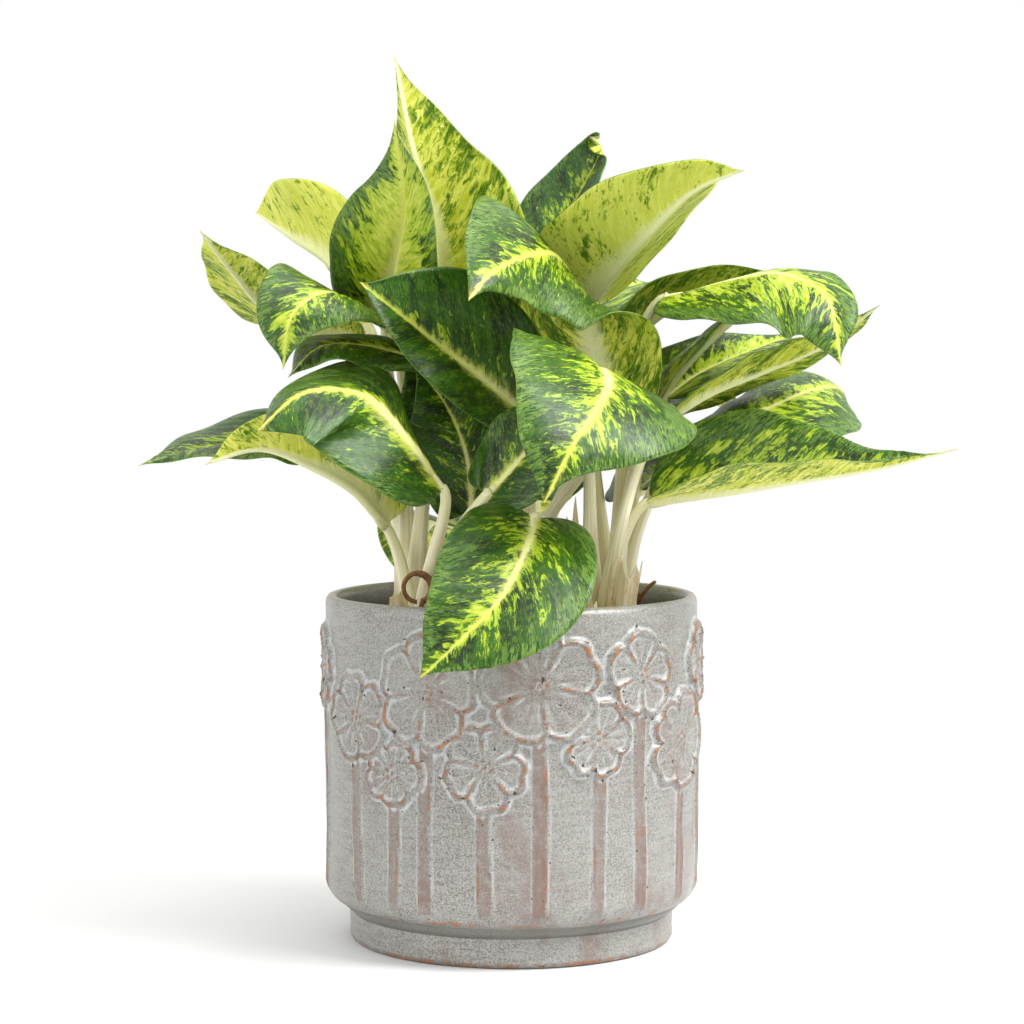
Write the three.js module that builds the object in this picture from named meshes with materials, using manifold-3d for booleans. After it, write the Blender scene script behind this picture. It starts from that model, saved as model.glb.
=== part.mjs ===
// Potted lemon mint aglaonema: a marbled house plant in a glazed pot with raised blossoms.
// Millimetres, +Z up, the plant's front towards -Y, origin at the middle of the pot's underside.

import * as THREE from "three";
import { mergeVertices } from "three/addons/utils/BufferGeometryUtils.js";
import Module from "manifold-3d";

const wasm = await Module();
wasm.setup();

// Pot
const potHeight = 130;
const potRadius = 70;
const potWall = 5;
const potFloor = 10;
const footRadius = 61;
const footHeight = 14;
const potColumns = 90;
const potSeam = 1;
const reliefBottom = 52;
const reliefBands = 13;
const reliefBandHeight = 6;
const petals = 5;
const blossomRise = 1.2;
const outlineRise = 1.1;
const stemRise = 1.2;
const stemHalfWidth = 4;

// Nursery pot and soil
const fitGap = 0.3;
const nurseryTop = 118;
const nurseryBaseRadius = 46;
const nurseryTopRadius = 57;
const nurseryRimRadius = 60;
const nurseryWall = 1.5;
const nurseryRimDepth = 6;
const drainRadius = 6;
const soilTop = 108;
const caneDepth = 26;

// Leaf blades and stalks
const bladeThickness = 0.8;
const keelRise = 0.9;
const neckHalfWidth = 2.2;
const tipHalfWidth = 0.5;
const widestAt = 0.36;
const tipTaper = 1.25;
const bladeRows = [0, 0.04, 0.12, 0.23, 0.36, 0.5, 0.64, 0.77, 0.88, 0.95, 1];
const bladeColumns = [-1, -0.55, 0, 0.55, 1];
const stalkTipRadius = 1.6;
const stalkFootRadius = 3.3;
const stalkSides = 6;
const stalkSteps = 6;
const stalkBend = 0.14;

// Dry growth on the soil
const curlRadius = 5.3;
const curlThickness = 1.15;
const twigRadius = 0.9;
const dryDepth = 12;
const dryHoleRadius = 1.8;

// Blossoms on one half turn of the pot: angle round from the front, height, radius
const blossoms = [
  [-80, 104, 14],
  [-53, 88, 15],
  [-37, 70, 11],
  [-26, 100, 19],
  [-8, 74, 14],
  [8, 103, 21],
  [26, 83, 12],
  [41, 105, 14],
  [61, 79, 18],
  [78, 106, 14],
];
const halfTurn = 180;

// Shoots: middle of the cane at the soil, cane radius, cane height over the soil
const shoots = {
  left_front: { at: [-35, -22], radius: 6.5, height: 9 },
  left_back: { at: [-37, 8], radius: 7, height: 8 },
  middle: { at: [-6, 14], radius: 7, height: 10 },
  right_front: { at: [31, -23], radius: 7.5, height: 10 },
  right_back: { at: [37, 10], radius: 7, height: 8 },
  back: { at: [2, 40], radius: 7, height: 8 },
};

// Leaves: the rib from the stalk to the tip, the way the upper face looks along it, the half width,
// and the degrees that the right and left halves fold up from the rib and curl down to the margin.
// lobe is how far the base reaches back past the stalk, sweep how far the margin leans to the tip,
// taper how soon the blade narrows towards the tip. A pair of values is for the right and left half.
const leaves = [
  {
    name: "leaf_top_spire",
    shoot: "middle",
    rib: [[-28, 27, 232], [-28, 12, 264], [-37, 2, 296], [-44, 0, 331]],
    face: [[0.4, 0.9, 0.1], [0.5, 0.9, 0]],
    half: 35,
    fold: [54, 20],
    sweep: -5,
  },
  {
    name: "leaf_top_left",
    shoot: "left_back",
    rib: [[-48, 17, 232], [-44, -5, 250], [-39, -21, 275], [-43, -20, 305]],
    face: [[-0.1, -1, -0.1], [-0.7, -0.6, -0.2]],
    half: 26,
    fold: [34, 21],
  },
  {
    name: "leaf_pale_left",
    shoot: "left_back",
    rib: [[-57, 25, 234], [-69, 29, 253], [-86, 42, 265], [-102, 62, 276]],
    face: [[0.3, 0.8, 0.5], [0.2, 0.8, 0.5]],
    half: 28,
    fold: [55, 10],
    sweep: 11,
  },
  {
    name: "leaf_far_left",
    shoot: "left_back",
    rib: [[-66, 73, 225], [-92, 38, 234], [-106, 8, 251], [-115, -15, 265]],
    face: [[0.4, 0.7, 0.6], [0.5, 0.8, 0.5]],
    half: [25, 22],
    fold: [22, 26],
  },
  {
    name: "leaf_left_nodding",
    shoot: "left_back",
    rib: [[-47, 3, 230], [-57, -12, 237], [-68, -28, 242], [-79, -41, 233], [-82, -46, 214]],
    face: [[-0.2, -0.5, 0.9], [-0.3, -0.7, 0.7], [-0.7, -0.6, 0.3]],
    half: 26,
    fold: [14, 0],
    curl: [11, 26],
  },
  {
    name: "leaf_left_arched",
    shoot: "left_front",
    rib: [[-25, -48, 172], [-37, -56, 190], [-52, -62, 205], [-72, -70, 206], [-88, -80, 193]],
    face: [[0.3, -0.4, 0.9], [-0.3, -0.5, 0.8], [-0.5, -0.5, 0.7]],
    half: [33, 37],
    fold: [-8, -24],
    lobe: 2,
    sweep: [7, 15],
    taper: [1.25, 0.9],
  },
  {
    name: "leaf_left_reaching",
    shoot: "left_back",
    rib: [[-60, 27, 187], [-90, 23, 188], [-117, 11, 184], [-140, -3, 178]],
    face: [[-0.3, -0.4, 0.8], [-0.3, -0.2, 0.9]],
    half: 26,
    fold: [15, 6],
  },
  {
    name: "leaf_left_low",
    shoot: "left_front",
    rib: [[-48, -5, 156], [-59, -17, 169], [-73, -29, 178], [-91, -40, 185], [-110, -46, 180]],
    face: [[-0.2, 0.2, 0.95], [0, 0.3, 0.95]],
    half: 28,
    fold: [62, 58],
  },
  {
    name: "leaf_centre_dark",
    shoot: "middle",
    rib: [[5, -9, 197], [-12, -24, 211], [-32, -39, 227], [-54, -52, 245]],
    face: [[-0.4, -0.8, 0.4], [-0.3, -0.8, 0.5]],
    half: [31, 19],
    fold: [14, 48],
    curl: [18, 36],
    sweep: 11,
  },
  {
    name: "leaf_centre_arched",
    shoot: "middle",
    rib: [[33, -6, 188], [33, 0, 210], [24, -8, 245], [15, -27, 256], [-7, -63, 248], [-15, -75, 238]],
    face: [[0.1, 1, 0], [0.2, 0.9, 0.3], [0.5, -0.2, 0.8], [0.4, -0.6, 0.6], [0.2, -0.8, 0.5]],
    half: [38, 35],
    fold: [-2, -20],
  },
  {
    name: "leaf_centre_front",
    shoot: "right_front",
    rib: [[29, -20, 213], [31, -39, 215], [34, -61, 210], [30, -81, 201], [20, -95, 187], [11, -100, 169]],
    face: [[0.3, 0.3, 0.9], [0.4, -0.1, 0.9], [0.3, -0.8, 0.6], [0.2, -0.9, 0.2]],
    half: [40, 36],
    fold: [10, 3],
    taper: [0.85, 1.6],
  },
  {
    name: "leaf_over_rim",
    shoot: "right_front",
    rib: [[8, -55, 161], [5, -76, 152], [-3, -91, 137], [-19, -101, 121], [-37, -104, 109]],
    face: [[0.1, -0.8, 0.5], [0, -0.95, 0.3]],
    half: 27,
    fold: [12, 10],
    lobe: [17, 15],
  },
  {
    name: "leaf_upper_right",
    shoot: "right_back",
    rib: [[29, 25, 237], [40, 5, 252], [51, -13, 264], [67, -27, 279], [84, -33, 286]],
    face: [[-0.2, 0.9, 0.4], [-0.4, 0.7, 0.6]],
    half: [37, 36],
    fold: [11, 50],
    sweep: [12, 14],
  },
  {
    name: "leaf_small_back",
    shoot: "middle",
    rib: [[7, 32, 244], [18, 44, 267], [29, 52, 287], [35, 50, 300], [30, 38, 304]],
    face: [[-0.5, -0.85, 0.2], [-0.5, -0.85, 0.3]],
    half: 22,
    fold: [50, 12],
  },
  {
    name: "leaf_right_pale",
    shoot: "right_back",
    rib: [[36, 45, 214], [60, 39, 236], [87, 29, 245], [112, 17, 249]],
    face: [[-0.3, 0.6, 0.7], [-0.1, 0.8, 0.5]],
    half: 28,
    fold: [-10, 55],
  },
  {
    name: "leaf_right_nodding",
    shoot: "right_back",
    rib: [[58, -3, 241], [80, -15, 247], [98, -27, 249], [113, -39, 240], [118, -46, 215]],
    face: [[0, 0, 1], [0, -0.6, 0.8], [0.7, -0.6, 0.3]],
    half: [29, 21],
    fold: [-10, -12],
    curl: [24, 33],
    sweep: 14,
  },
  {
    name: "leaf_right_inner",
    shoot: "right_back",
    rib: [[55, -8, 202], [62, -6, 212], [78, 0, 228], [95, 7, 240], [108, 13, 247]],
    face: [[-0.6, 0.4, 0.6], [-0.6, 0.4, 0.6]],
    half: 28,
    fold: [-11, 58],
    lobe: 4,
  },
  {
    name: "leaf_right_bright",
    shoot: "right_back",
    rib: [[58, 9, 203], [72, 27, 212], [91, 42, 220], [113, 58, 228]],
    face: [[-0.2, -0.6, 0.7], [-0.2, -0.6, 0.7]],
    half: 26,
    fold: [28, 6],
  },
  {
    name: "leaf_right_rolled",
    shoot: "right_front",
    rib: [[57, -22, 196], [74, -5, 205], [95, 6, 213], [118, 6, 223], [137, -7, 238]],
    face: [[-0.4, 0.4, 0.8], [-0.2, 0.4, 0.9]],
    half: 22,
    fold: [13, 17],
    curl: [27, 21],
  },
  {
    name: "leaf_right_bowed",
    shoot: "right_back",
    rib: [[70, -3, 190], [96, 10, 199], [116, 29, 206], [130, 55, 206], [136, 77, 199]],
    face: [[-0.2, -0.3, 0.9], [0.1, -0.3, 0.9], [0.8, -0.3, 0.5]],
    half: 26,
    fold: [-15, -3],
  },
  {
    name: "leaf_right_low",
    shoot: "right_front",
    rib: [[51, -22, 165], [78, -30, 169], [105, -41, 174], [132, -50, 179], [158, -57, 186]],
    face: [[0.1, -0.6, 0.8], [0.2, -0.3, 0.9]],
    half: 32,
    fold: [48, 44],
    curl: [10, 10],
    lobe: 2,
    sweep: -8,
    taper: 1.9,
  },
  {
    name: "leaf_inner_left",
    shoot: "middle",
    rib: [[-13, 10, 178], [-21, 2, 194], [-30, -6, 208], [-40, -13, 219]],
    face: [[-0.3, -0.7, 0.6], [-0.5, -0.6, 0.6]],
    half: 23,
  },
  {
    name: "leaf_inner_dark",
    shoot: "middle",
    rib: [[-15, -10, 163], [-17, -15, 182], [-24, -19, 200], [-36, -24, 216]],
    face: [[0.3, -0.8, 0.5], [0, -0.8, 0.6]],
    half: 22,
    fold: [16, 12],
  },
  {
    name: "leaf_inner_right",
    shoot: "left_front",
    rib: [[-8, -43, 170], [3, -44, 182], [13, -40, 194], [20, -29, 205]],
    face: [[-0.2, -0.8, 0.5], [-0.2, -0.8, 0.5]],
    half: 19,
    fold: [14, 7],
  },
  {
    name: "leaf_left_under",
    shoot: "left_back",
    rib: [[-37, -22, 219], [-56, -26, 223], [-70, -32, 222], [-81, -38, 211]],
    face: [[-0.2, -0.4, 0.9], [-0.5, -0.4, 0.7]],
    half: [20, 16],
    fold: 0,
  },
  {
    name: "leaf_right_far_low",
    shoot: "right_back",
    rib: [[48, 9, 168], [63, 34, 180], [77, 61, 186], [93, 89, 178]],
    face: [[-0.5, -0.3, 0.8], [0.2, 0.2, 0.9]],
    half: 28,
    fold: [5, 4],
  },
  {
    name: "leaf_back_right_high",
    shoot: "back",
    rib: [[18, 48, 222], [34, 62, 240], [52, 78, 248], [70, 96, 242]],
    face: [[-0.3, -0.5, 0.8], [0.3, 0.2, 0.9]],
    half: 30,
  },
  {
    name: "leaf_back_high",
    shoot: "back",
    rib: [[-8, 50, 225], [-10, 66, 246], [-14, 84, 256], [-18, 106, 252]],
    face: [[0, -0.6, 0.8], [0, 0.3, 0.9]],
    half: 31,
  },
  {
    name: "leaf_back_left_high",
    shoot: "back",
    rib: [[-24, 58, 182], [-38, 76, 196], [-52, 96, 202], [-66, 116, 192]],
    face: [[0.3, -0.4, 0.9], [-0.3, 0.2, 0.9]],
    half: 28,
  },
  {
    name: "leaf_back_left_low",
    shoot: "back",
    rib: [[-20, 62, 150], [-31, 82, 152], [-38, 102, 141], [-41, 117, 120]],
    face: [[0.2, -0.4, 0.8], [-0.5, 0.4, 0.7]],
    half: 21,
    fold: [16, 28],
  },
  {
    name: "leaf_back_low",
    shoot: "back",
    rib: [[6, 66, 162], [8, 88, 172], [10, 108, 166], [12, 122, 146]],
    face: [[0, -0.4, 0.9], [0, 0.7, 0.7]],
    half: 29,
  },
  {
    name: "leaf_back_right",
    shoot: "back",
    rib: [[34, 51, 185], [52, 69, 199], [74, 85, 204], [96, 99, 193]],
    face: [[-0.3, -0.4, 0.9], [0.4, 0.3, 0.8]],
    half: 28,
  },
];

const degrees = Math.PI / 180;
const up = new THREE.Vector3(0, 0, 1);

const vector = (list) => new THREE.Vector3(...list);

const clamp = THREE.MathUtils.clamp;

// Value of a list of vectors at a share of its length
function blendList(list, share) {
  const place = share * (list.length - 1);
  const index = Math.min(Math.floor(place), list.length - 2);
  return vector(list[index]).lerp(vector(list[index + 1]), place - index);
}

// Geometry from a list of positions and a list of vertex numbers
function meshOf(positions, triangles) {
  const geometry = new THREE.BufferGeometry();
  geometry.setAttribute("position", new THREE.Float32BufferAttribute(positions, 3));
  geometry.setIndex(triangles);
  return geometry;
}

// A closed solid from rings of points that follow each other, with a flat cap at each end
function loft(rings) {
  const sides = rings[0].length;
  const positions = rings.flat().flatMap((point) => point.toArray());
  const triangles = [];
  for (let row = 0; row < rings.length - 1; row++) {
    for (let side = 0; side < sides; side++) {
      const a = row * sides + side;
      const b = row * sides + ((side + 1) % sides);
      triangles.push(a, b, b + sides, a, b + sides, a + sides);
    }
  }
  const last = (rings.length - 1) * sides;
  for (let side = 1; side < sides - 1; side++) {
    triangles.push(0, side + 1, side);
    triangles.push(last, last + side, last + side + 1);
  }
  return meshOf(positions, triangles);
}

// A round stalk along a curve, its radius given at each share of the length
function stalkAlong(curve, radiusAt, sides = stalkSides, steps = stalkSteps) {
  const frames = curve.computeFrenetFrames(steps, false);
  const rings = [];
  for (let step = 0; step <= steps; step++) {
    const share = step / steps;
    const middle = curve.getPointAt(share);
    const ring = [];
    for (let side = 0; side < sides; side++) {
      const turn = (side / sides) * 2 * Math.PI;
      ring.push(
        middle
          .clone()
          .addScaledVector(frames.normals[step], Math.cos(turn) * radiusAt(share))
          .addScaledVector(frames.binormals[step], Math.sin(turn) * radiusAt(share)),
      );
    }
    rings.push(ring);
  }
  return loft(rings);
}

// Solids for joining and cutting

function solidOf(geometry) {
  const bare = geometry.clone();
  bare.deleteAttribute("normal");
  bare.deleteAttribute("uv");
  const merged = mergeVertices(bare, 1e-4);
  return new wasm.Manifold(
    new wasm.Mesh({
      numProp: 3,
      vertProperties: new Float32Array(merged.attributes.position.array),
      triVerts: new Uint32Array(merged.index.array),
    }),
  );
}

function geometryOf(solid) {
  const mesh = solid.getMesh();
  return meshOf(Array.from(mesh.vertProperties), Array.from(mesh.triVerts));
}

const join = (solids) => solids.reduce((all, next) => all.add(next));

function uprightCylinder(radius, bottom, top, x, y, sides) {
  const geometry = new THREE.CylinderGeometry(radius, radius, top - bottom, sides);
  geometry.rotateX(Math.PI / 2);
  geometry.translate(x, y, (top + bottom) / 2);
  return geometry;
}

function latheUp(profile, columns, seam = 0) {
  const points = profile.map(([radius, height]) => new THREE.Vector2(radius, height));
  return new THREE.LatheGeometry(points, columns, seam).rotateX(Math.PI / 2);
}

// Leaf blades

function ribCurve(leaf) {
  return new THREE.CatmullRomCurve3(leaf.rib.map(vector), false, "centripetal");
}

// Share of the half width at a share of the rib: round at the base, drawn out to the tip
function widthShare(share, taper) {
  if (share < widestAt) {
    return Math.sqrt(1 - (1 - share / widestAt) ** 2);
  }
  return Math.cos((((share - widestAt) / (1 - widestAt)) * Math.PI) / 2) ** taper;
}

// Middle surface of a blade, share along the rib from 0 to 1 and across it from -1 to 1
function bladePoint(leaf, curve, share, across) {
  const step = 0.04;
  const along = curve.getPointAt(Math.min(share + step, 1));
  along.sub(curve.getPointAt(Math.max(share - step, 0))).normalize();
  const normal = blendList(leaf.face, share);
  normal.addScaledVector(along, -normal.dot(along)).normalize();
  const side = new THREE.Vector3().crossVectors(along, normal);
  const right = across >= 0;
  const reach = Math.abs(across);
  const { fold = 15, curl = 18, lobe = 9, sweep = 5, taper = tipTaper } = leaf;
  const halfOf = (value) => (Array.isArray(value) ? value[right ? 0 : 1] : value);
  const start = halfOf(fold) * degrees;
  const turn = -halfOf(curl) * degrees;
  const end = start + turn * reach;
  const wide = widthShare(share, halfOf(taper));
  const half = Math.max(halfOf(leaf.half) * wide, neckHalfWidth * (1 - share) + tipHalfWidth);
  const out = ((Math.sin(end) - Math.sin(start)) / turn) * half;
  const rise = ((Math.cos(start) - Math.cos(end)) / turn) * half;
  const nearBase = clamp(1 - share / widestAt, 0, 1) ** 1.5;
  const back = halfOf(lobe) * reach ** 1.3 * nearBase * Math.min(wide * 1.5, 1);
  const pastBase = clamp((share - 0.05) * 4, 0, 1);
  const ahead = halfOf(sweep) * reach ** 1.6 * Math.sin(share * Math.PI) * pastBase;
  return curve
    .getPointAt(share)
    .addScaledVector(side, right ? out : -out)
    .addScaledVector(normal, rise)
    .addScaledVector(along, ahead - back);
}

function bladeSolid(leaf) {
  const curve = ribCurve(leaf);
  const grid = bladeRows.map((share) =>
    bladeColumns.map((across) => bladePoint(leaf, curve, share, across)),
  );
  const lastRow = bladeRows.length - 1;
  const lastColumn = bladeColumns.length - 1;
  const facing = (row, column) => {
    const ahead = grid[Math.min(row + 1, lastRow)][column].clone();
    const across = grid[row][Math.min(column + 1, lastColumn)].clone();
    ahead.sub(grid[Math.max(row - 1, 0)][column]);
    across.sub(grid[row][Math.max(column - 1, 0)]);
    return across.cross(ahead).normalize();
  };
  const rings = grid.map((line, row) => {
    const keel = keelRise * (1 - bladeRows[row]);
    const top = line.map((point, column) =>
      point.clone().addScaledVector(facing(row, column), bladeThickness / 2),
    );
    const under = line.map((point, column) => {
      const depth = bladeThickness / 2 + (bladeColumns[column] === 0 ? keel : 0);
      return point.clone().addScaledVector(facing(row, column), -depth);
    });
    return [...top, ...under.reverse()];
  });
  return bladeShell(rings);
}

// Closes a blade's rings so that both faces are split into triangles along the same diagonals
function bladeShell(rings) {
  const count = rings[0].length;
  const wide = count / 2;
  const positions = rings.flat().flatMap((point) => point.toArray());
  const triangles = [];
  const quad = (a, b, c, d, flip) => {
    if (flip) {
      triangles.push(a, d, b, b, d, c);
    } else {
      triangles.push(a, c, b, a, d, c);
    }
  };
  for (let row = 0; row < rings.length - 1; row++) {
    const here = row * count;
    const next = here + count;
    for (let k = 0; k < count; k++) {
      const after = (k + 1) % count;
      quad(here + k, next + k, next + after, here + after, k >= wide);
    }
  }
  const last = (rings.length - 1) * count;
  for (let k = 0; k < wide - 1; k++) {
    const low = count - 1 - k;
    quad(k, k + 1, low - 1, low, false);
    quad(last + k, last + low, last + low - 1, last + k + 1, false);
  }
  return meshOf(positions, triangles);
}

// Shoots: a short cane in the soil with the stalks of its leaves grown out of it

function stalkOf(leaf, shoot) {
  const curve = ribCurve(leaf);
  const tip = curve.getPointAt(0);
  const along = curve.getTangentAt(0);
  const end = tip.clone().addScaledVector(along, -fitGap);
  const [x, y] = shoot.at;
  const lean = new THREE.Vector2(end.x - x, end.y - y);
  lean.setLength(Math.min(lean.length(), shoot.radius * 0.55));
  const foot = new THREE.Vector3(x + lean.x, y + lean.y, soilTop + 1);
  const rise = end.distanceTo(foot);
  const leave = foot.clone().addScaledVector(up, rise * 0.5);
  const arrive = end.clone().addScaledVector(along, -rise * stalkBend);
  const route = new THREE.CubicBezierCurve3(foot, leave, arrive, end);
  const flare = stalkFootRadius - stalkTipRadius;
  return stalkAlong(route, (share) => stalkTipRadius + flare * (1 - share) ** 2);
}

function shootSolid(name) {
  const shoot = shoots[name];
  const [x, y] = shoot.at;
  const cane = uprightCylinder(shoot.radius, soilTop - caneDepth, soilTop + shoot.height, x, y, 10);
  const stalks = leaves.filter((leaf) => leaf.shoot === name).map((leaf) => stalkOf(leaf, shoot));
  return join([cane, ...stalks].map(solidOf));
}

// Pot: the turned profile, then the raised flowers on its side

const reliefRows = Array.from({ length: reliefBands }, (_, band) => [
  potRadius,
  reliefBottom + band * reliefBandHeight,
]);

const potProfile = [
  [0, 0],
  [footRadius - 1.5, 0],
  [footRadius, 1.5],
  [footRadius, footHeight],
  [footRadius + 3, footHeight + 1.5],
  [potRadius - 2.5, footHeight + 3],
  [potRadius - 0.4, footHeight + 7],
  [potRadius, footHeight + 12],
  [potRadius, reliefBottom - 2 * reliefBandHeight],
  ...reliefRows,
  [potRadius, potHeight - 3],
  [potRadius - 1, potHeight - 0.6],
  [potRadius - potWall / 2, potHeight],
  [potRadius - potWall + 1, potHeight - 0.6],
  [potRadius - potWall, potHeight - 3],
  [potRadius - potWall, potFloor + 4],
  [potRadius - potWall - 4, potFloor],
  [0, potFloor],
];

// Height of one blossom over the wall at a place round it and up from its middle
function blossomHeight(radius, acrossMm, upMm) {
  const reach = Math.hypot(acrossMm, upMm);
  const turn = Math.atan2(acrossMm, upMm);
  const petal = 0.84 + 0.16 * Math.cos(petals * turn);
  const share = reach / (radius * petal);
  if (share > 1.2) {
    return 0;
  }
  const fromOutline = ((share - 0.92) * radius) / 3;
  const outline = Math.exp(-fromOutline * fromOutline);
  const pad = share < 1 ? 1 - 0.35 * share : 0.65 * Math.exp(9 - share * 9);
  return blossomRise * pad + outlineRise * outline;
}

function reliefHeight(angle, height) {
  if (height < footHeight + 5 || height > potHeight - 5) {
    return 0;
  }
  let highest = 0;
  for (const turn of [0, halfTurn]) {
    for (const [at, middle, radius] of blossoms) {
      const away = (((angle - at - turn) % 360) + 540) % 360 - 180;
      const acrossMm = away * degrees * potRadius;
      highest = Math.max(highest, blossomHeight(radius, acrossMm, height - middle));
      if (height < middle && Math.abs(acrossMm) < stemHalfWidth) {
        highest = Math.max(highest, stemRise * (1 - Math.abs(acrossMm) / stemHalfWidth));
      }
    }
  }
  return highest;
}

function potSolid() {
  const geometry = latheUp(potProfile, potColumns, potSeam * degrees);
  const place = geometry.attributes.position;
  const point = new THREE.Vector3();
  for (let index = 0; index < place.count; index++) {
    point.fromBufferAttribute(place, index);
    const radius = Math.hypot(point.x, point.y);
    if (radius > potRadius - 1.5) {
      const angle = Math.atan2(point.x, -point.y) / degrees;
      const scale = (radius + reliefHeight(angle, point.z)) / radius;
      place.setXYZ(index, point.x * scale, point.y * scale, point.z);
    }
  }
  return solidOf(geometry);
}

// Plastic nursery pot that holds the root ball, with a folded rim and a drain hole

function nurserySolid() {
  const bottom = potFloor + fitGap;
  const profile = [
    [drainRadius, bottom],
    [nurseryBaseRadius, bottom],
    [nurseryTopRadius, nurseryTop - nurseryRimDepth],
    [nurseryRimRadius, nurseryTop - nurseryRimDepth],
    [nurseryRimRadius, nurseryTop],
    [nurseryTopRadius - nurseryWall, nurseryTop],
    [nurseryBaseRadius - nurseryWall, bottom + nurseryWall],
    [drainRadius, bottom + nurseryWall],
    [drainRadius, bottom],
  ];
  return solidOf(latheUp(profile, 32));
}

// Soil: fills the nursery pot, slightly mounded, with a plain hole for each cane and twig
function soilSolid(holes) {
  const bottom = potFloor + 2 * fitGap + nurseryWall;
  const slope = (nurseryTopRadius - nurseryBaseRadius) / (nurseryTop - potFloor - fitGap);
  const wallAt = (height) => nurseryBaseRadius - nurseryWall - fitGap + slope * (height - bottom);
  const edge = soilTop - 3;
  const profile = [
    [0, bottom],
    [wallAt(bottom), bottom],
    [wallAt(edge), edge],
    [wallAt(edge) * 0.8, soilTop - 1],
    [wallAt(edge) * 0.4, soilTop],
    [0, soilTop],
  ];
  return holes.reduce((soil, hole) => soil.subtract(hole), solidOf(latheUp(profile, 32)));
}

function holeFor(x, y, radius, depth) {
  return solidOf(uprightCylinder(radius + fitGap, soilTop - depth - fitGap, soilTop + 5, x, y, 12));
}

// Dry woody curl that stands in the soil at the left and a dry twig at the right
const curlAt = [-34, -37];
const curlHeight = 135;
const twigAt = [45, -18];

function curlSolid() {
  const [x, y] = curlAt;
  const ring = new THREE.TorusGeometry(curlRadius, curlThickness, 6, 14);
  ring.rotateX(Math.PI / 2);
  ring.translate(x, y, curlHeight);
  const foot = new THREE.Vector3(x, y, soilTop - dryDepth);
  const bend = new THREE.Vector3(x, y, soilTop + 10);
  const top = new THREE.Vector3(x + 1.5, y, curlHeight - curlRadius);
  const stem = stalkAlong(new THREE.QuadraticBezierCurve3(foot, bend, top), () => curlThickness);
  const armFrom = new THREE.Vector3(x + 2, y, curlHeight - curlRadius + 0.4);
  const armBend = new THREE.Vector3(x + 5, y + 0.5, curlHeight + 1);
  const armTo = new THREE.Vector3(x - 1, y, curlHeight + curlRadius - 0.4);
  const arm = stalkAlong(new THREE.QuadraticBezierCurve3(armFrom, armBend, armTo), () => curlThickness * 0.8);
  return join([ring, stem, arm].map(solidOf));
}

function twigSolid() {
  const [x, y] = twigAt;
  const foot = new THREE.Vector3(x, y, soilTop - dryDepth);
  const rise = new THREE.Vector3(x, y, soilTop + 8);
  const bend = new THREE.Vector3(x - 2, y - 8, soilTop + 22);
  const top = new THREE.Vector3(x + 7, y - 19, potHeight + 10);
  const route = new THREE.CubicBezierCurve3(foot, rise, bend, top);
  return solidOf(stalkAlong(route, (share) => twigRadius * (1.2 - 0.5 * share)));
}

// Assembly

const materials = {
  glaze: new THREE.MeshStandardMaterial({ color: 0x9c9a9e, roughness: 0.4 }),
  plastic: new THREE.MeshStandardMaterial({ color: 0x2b2420, roughness: 0.6 }),
  soil: new THREE.MeshStandardMaterial({ color: 0x2e2118, roughness: 0.95 }),
  blade: new THREE.MeshStandardMaterial({ color: 0x6f9a2c, roughness: 0.45, side: THREE.DoubleSide }),
  stalk: new THREE.MeshStandardMaterial({ color: 0xe4dcb4, roughness: 0.5 }),
  wood: new THREE.MeshStandardMaterial({ color: 0x5a3a22, roughness: 0.8 }),
};

const plant = new THREE.Group();

function place(name, geometry, material) {
  const mesh = new THREE.Mesh(geometry, material.clone());
  mesh.name = name;
  plant.add(mesh);
}

const caneHoles = Object.values(shoots).map(({ at, radius }) => holeFor(...at, radius, caneDepth));
const dryHoles = [curlAt, twigAt].map((at) => holeFor(...at, dryHoleRadius, dryDepth));

place("pot", geometryOf(potSolid()), materials.glaze);
place("nursery_pot", geometryOf(nurserySolid()), materials.plastic);
place("soil", geometryOf(soilSolid([...caneHoles, ...dryHoles])), materials.soil);
place("dry_curl", geometryOf(curlSolid()), materials.wood);
place("dry_twig", geometryOf(twigSolid()), materials.wood);
for (const name of Object.keys(shoots)) {
  place("shoot_" + name, geometryOf(shootSolid(name)), materials.stalk);
}
for (const leaf of leaves) {
  place(leaf.name, bladeSolid(leaf), materials.blade);
}

export default plant;
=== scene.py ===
# Potted lemon mint aglaonema: fine leaves, stalks, glazed pot and soil around the fixed frame.
# Sizes in the dictionaries are millimetres and become metres through mm.
import math

import bpy
import numpy as np
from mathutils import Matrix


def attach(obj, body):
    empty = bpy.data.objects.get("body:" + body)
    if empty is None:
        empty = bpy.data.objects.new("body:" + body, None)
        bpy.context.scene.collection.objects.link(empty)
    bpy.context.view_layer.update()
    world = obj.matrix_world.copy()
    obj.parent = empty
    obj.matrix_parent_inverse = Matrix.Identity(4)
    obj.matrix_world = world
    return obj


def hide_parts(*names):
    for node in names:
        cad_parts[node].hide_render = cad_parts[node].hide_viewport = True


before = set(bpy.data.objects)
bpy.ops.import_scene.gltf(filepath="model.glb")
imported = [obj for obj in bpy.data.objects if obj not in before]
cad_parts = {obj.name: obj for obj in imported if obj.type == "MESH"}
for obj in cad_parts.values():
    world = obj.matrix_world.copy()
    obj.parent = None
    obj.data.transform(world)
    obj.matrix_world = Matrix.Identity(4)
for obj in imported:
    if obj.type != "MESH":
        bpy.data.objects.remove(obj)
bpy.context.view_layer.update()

mm = 0.001
soilTop = 108  # shared by the soil, the canes and the dry growth
print("frame loaded,", len(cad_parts), "solids")


# Helpers for numbers and meshes

def screenColour(red, green, blue):
    # a colour as it looks on screen, 0 to 255, as the light values a shader takes
    parts = []
    for part in (red / 255, green / 255, blue / 255):
        parts.append(part / 12.92 if part <= 0.04045 else ((part + 0.055) / 1.055) ** 2.4)
    return (*parts, 1.0)


def easeBetween(value, low, high):
    share = np.clip((value - low) / (high - low), 0, 1)
    return share * share * (3 - 2 * share)


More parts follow.
